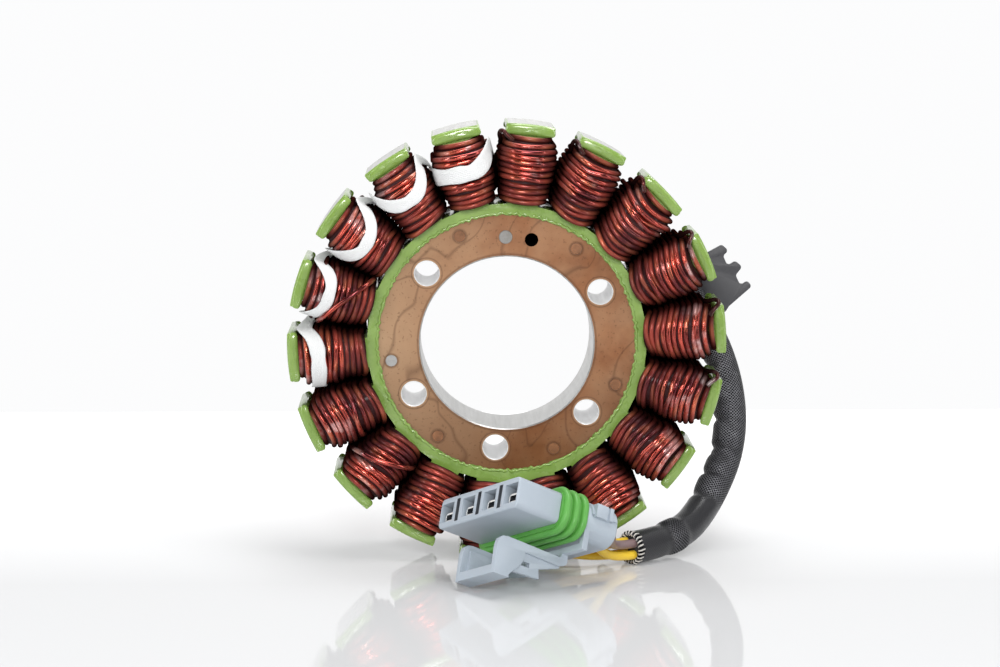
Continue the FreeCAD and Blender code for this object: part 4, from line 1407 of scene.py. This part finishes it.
def splineThing(name, points):
    curve = bpy.data.curves.new(name, "CURVE")
    curve.dimensions = "3D"
    curve.resolution_u = 16
    spline = curve.splines.new("NURBS")
    spline.points.add(len(points) - 1)
    for point, place in zip(spline.points, points):
        point.co = (place[0] * mm, place[1] * mm, place[2] * mm, 1)
    spline.order_u = 3
    spline.use_endpoint_u = True
    thing = bpy.data.objects.new(name, curve)
    scene.collection.objects.link(thing)
    return thing


def centreLine(points, count):
    # the route's own NURBS spline, read back as points an equal distance apart, in millimetres
    guide = splineThing("guide", points)
    line = bpy.data.meshes.new_from_object(guide.evaluated_get(bpy.context.evaluated_depsgraph_get()))
    coords = np.zeros(len(line.vertices) * 3)
    line.vertices.foreach_get("co", coords)
    coords = coords.reshape(-1, 3) / mm
    bpy.data.objects.remove(guide)
    bpy.data.meshes.remove(line)
    along = np.concatenate([[0], np.cumsum(np.linalg.norm(np.diff(coords, axis=0), axis=1))])
    steps = np.linspace(0, along[-1], count)
    return np.stack([np.interp(steps, along, coords[:, k]) for k in range(3)], 1), along[-1]


def leadSleevePoints(route):
    start = np.array(onRing(route["startRadius"], route["startAngle"], route["startY"]))
    second = start + np.array(onRing(route["firstRun"], route["startAngle"] + 90, 0))
    return [tuple(start), tuple(second)] + route["points"]


def leadSleeve(route):
    # circle along the route, pressed in by folds across the inside of the bend, with a raised collar near the
    # mouth: each fold is a bell curve along, shifted by its slant, and the collar one to the power 4
    centres, length = centreLine(leadSleevePoints(route), route["rings"])
    skin = roundTube(centres, 1.0, route["sides"])
    spoke = skin - centres[:, None, :]
    inner = -centres * np.array([1, 0, 1])
    inner /= np.linalg.norm(inner, axis=1)[:, None]
    facing = np.einsum("nkc,nc->nk", spoke, inner)
    along = np.linspace(0, length, route["rings"])[:, None]
    random = np.random.default_rng(7)
    depth = np.zeros_like(facing)
    for middle in np.arange(route["firstFold"], route["lastFold"], route["foldPitch"]):
        at = middle + random.uniform(-route["foldShift"], route["foldShift"])
        slant = random.uniform(-route["foldSlant"], route["foldSlant"])
        wide = random.uniform(*route["foldWidths"])
        strength = random.uniform(*route["foldStrengths"])
        depth += strength * np.exp(-((along - at - slant * facing) / wide) ** 2)
    fade = route["bulgeFade"]
    bulge = smoothStep((along - route["firstFold"]) / fade) * smoothStep((route["lastFold"] - along) / fade)
    reach = smoothStep((facing - route["foldsFrom"]) / route["foldsFade"])
    press = (route["foldDepth"] * depth - route["foldBulge"] * bulge) * reach
    collar = length - route["collarFromMouth"]
    press = press - route["collarHeight"] * np.exp(-((along - collar) / route["collarHalfWidth"]) ** 4)
    groove = (along - collar - route["grooveFromCollar"]) / route["grooveHalfWidth"]
    press = press + route["grooveDepth"] * np.exp(-groove**2)
    skin = centres[:, None, :] + spoke * (route["radius"] - press)[..., None]
    coordU = np.linspace(0, length, route["rings"] + 1)
    coordV = np.linspace(0, 2 * np.pi * route["radius"], route["sides"] + 1)
    parts = [gridPart(skin, False, True, coordU, coordV, caps=True)]
    piece = makePiece("leadSleeve", parts, [sleeveFinish])
    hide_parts("lead_sleeve")
    return centres


def mouthStitches(route, setup, centres):
    # the sleeve's cut edge, bound by short slanted stitches over the rim, dark and pale by turns
    end = centres[-1]
    ahead = centres[-1] - centres[-4]
    ahead /= np.linalg.norm(ahead)
    side = np.cross(ahead, [0.0, 0.0, 1.0])
    side /= np.linalg.norm(side)
    up = np.cross(side, ahead)
    random = np.random.default_rng(11)
    parts = []
    count = setup["count"]
    for k in range(count):
        middle = 2 * np.pi * (k + random.uniform(-setup["shift"], setup["shift"])) / count
        line = []
        for back, inside, slip in setup["places"]:
            angle = middle + slip * 2 * np.pi / count
            spoke = side * math.cos(angle) + up * math.sin(angle)
            back = back * random.uniform(*setup["lengths"])
            line.append(end + ahead * back + spoke * (route["radius"] - inside))
        line = np.array(line)
        line[:, 2] = np.maximum(line[:, 2], tableHeight + setup["aboveTable"])
        stitch = roundTube(line, setup["radius"], setup["sides"])
        parts.append(gridPart(stitch, False, True, caps=True, slotIndex=k % 2))
    makePiece("mouthStitches", parts, [sleeveFinish, moulded["paleThread"]])


def connectorPlace(u, v, w):
    # backwards, across and down from the middle of the connector's front face
    backwards, across, down = connectorFrame()
    return Vector(connectorAxes["origin"]) + backwards * u + across * v + down * w


def leadWire(name, nodeName, index, material, route):
    # from the sleeve's mouth to the floor of the connector's hood
    v = connectorAxes["pitch"] * (index - 1.5)
    mouth = Vector(leadRoute["points"][-1])
    inward = (Vector(leadRoute["points"][-2]) - mouth).normalized()
    across = inward.cross(Vector((0, 0, 1))).normalized()
    up = across.cross(inward)
    reach = route["circle"] / math.sqrt(2)
    side = 1 if index >= 2 else -1
    level = 1 if index % 2 else -1
    end = mouth + (across * side + up * level) * reach
    points = [
        end,
        end - inward * route["lastRun"],
        connectorPlace(route["hoodFloor"] + route["firstRun"], v, 0),
        connectorPlace(route["hoodFloor"], v, 0),
    ]
    _, length = centreLine(points, route["count"])
    wire = splineThing(name, points)
    wire.data.bevel_depth = route["radius"] * mm
    wire.data.bevel_resolution = 6
    wire.data.use_fill_caps = True
    wire.data.materials.append(material)
    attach(wire, "root")
    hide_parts(nodeName)
    print(name, round(length, 1))


wires = (
    ("wireYellow1", "wire_yellow_1", "yellowInsulation", "yellow_wire"),
    ("wireYellow2", "wire_yellow_2", "yellowInsulation", "yellow_wire"),
    ("wireYellow3", "wire_yellow_3", "yellowInsulation", "yellow_wire"),
    ("wireBrown", "wire_brown", "brownInsulation", "brown_wire"),
)
mouthStitches(leadRoute, stitchSetup, leadSleeve(leadRoute))
housing = softCopy("housing", moulded["housingPlastic"])
for index, (name, nodeName, insulation, recordSlot) in enumerate(wires):
    leadWire(name, nodeName, index, moulded[insulation], wireRoute)
print("lead and wires ready")

for number in range(1, poleCount + 1):
    windingPiece(number, windingSetup)
print("windings ready")
for lap in tapeSetup["laps"]:
    tapePiece(*lap, tapeSetup, windingSetup)
softCopy("toothCoat", coatFinish)
coatDetail(coatSetup)
softCopy("clampHook", moulded["clampCoating"])
print("coat and tapes ready")

# The other CAD nodes, by the start of their names
nodeFinishes = {
    "crossover": wireFinish,
    "phase_wire": moulded["phaseInsulation"],
    "core_laminations": steelFinish,
    "core_rivets": rivetFinish,
    "locating_pin": metals["dullRivet"],
    "clamp_rivet": metals["dullRivet"],
    "splice_sleeves": moulded["spliceSleeve"],
    "connector_seal": moulded["sealRubber"],
    "contact_": metals["tinnedContact"],
}
for start, finish in nodeFinishes.items():
    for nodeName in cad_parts:
        if nodeName.startswith(start):
            paintNode(nodeName, finish)
print("nodes painted")
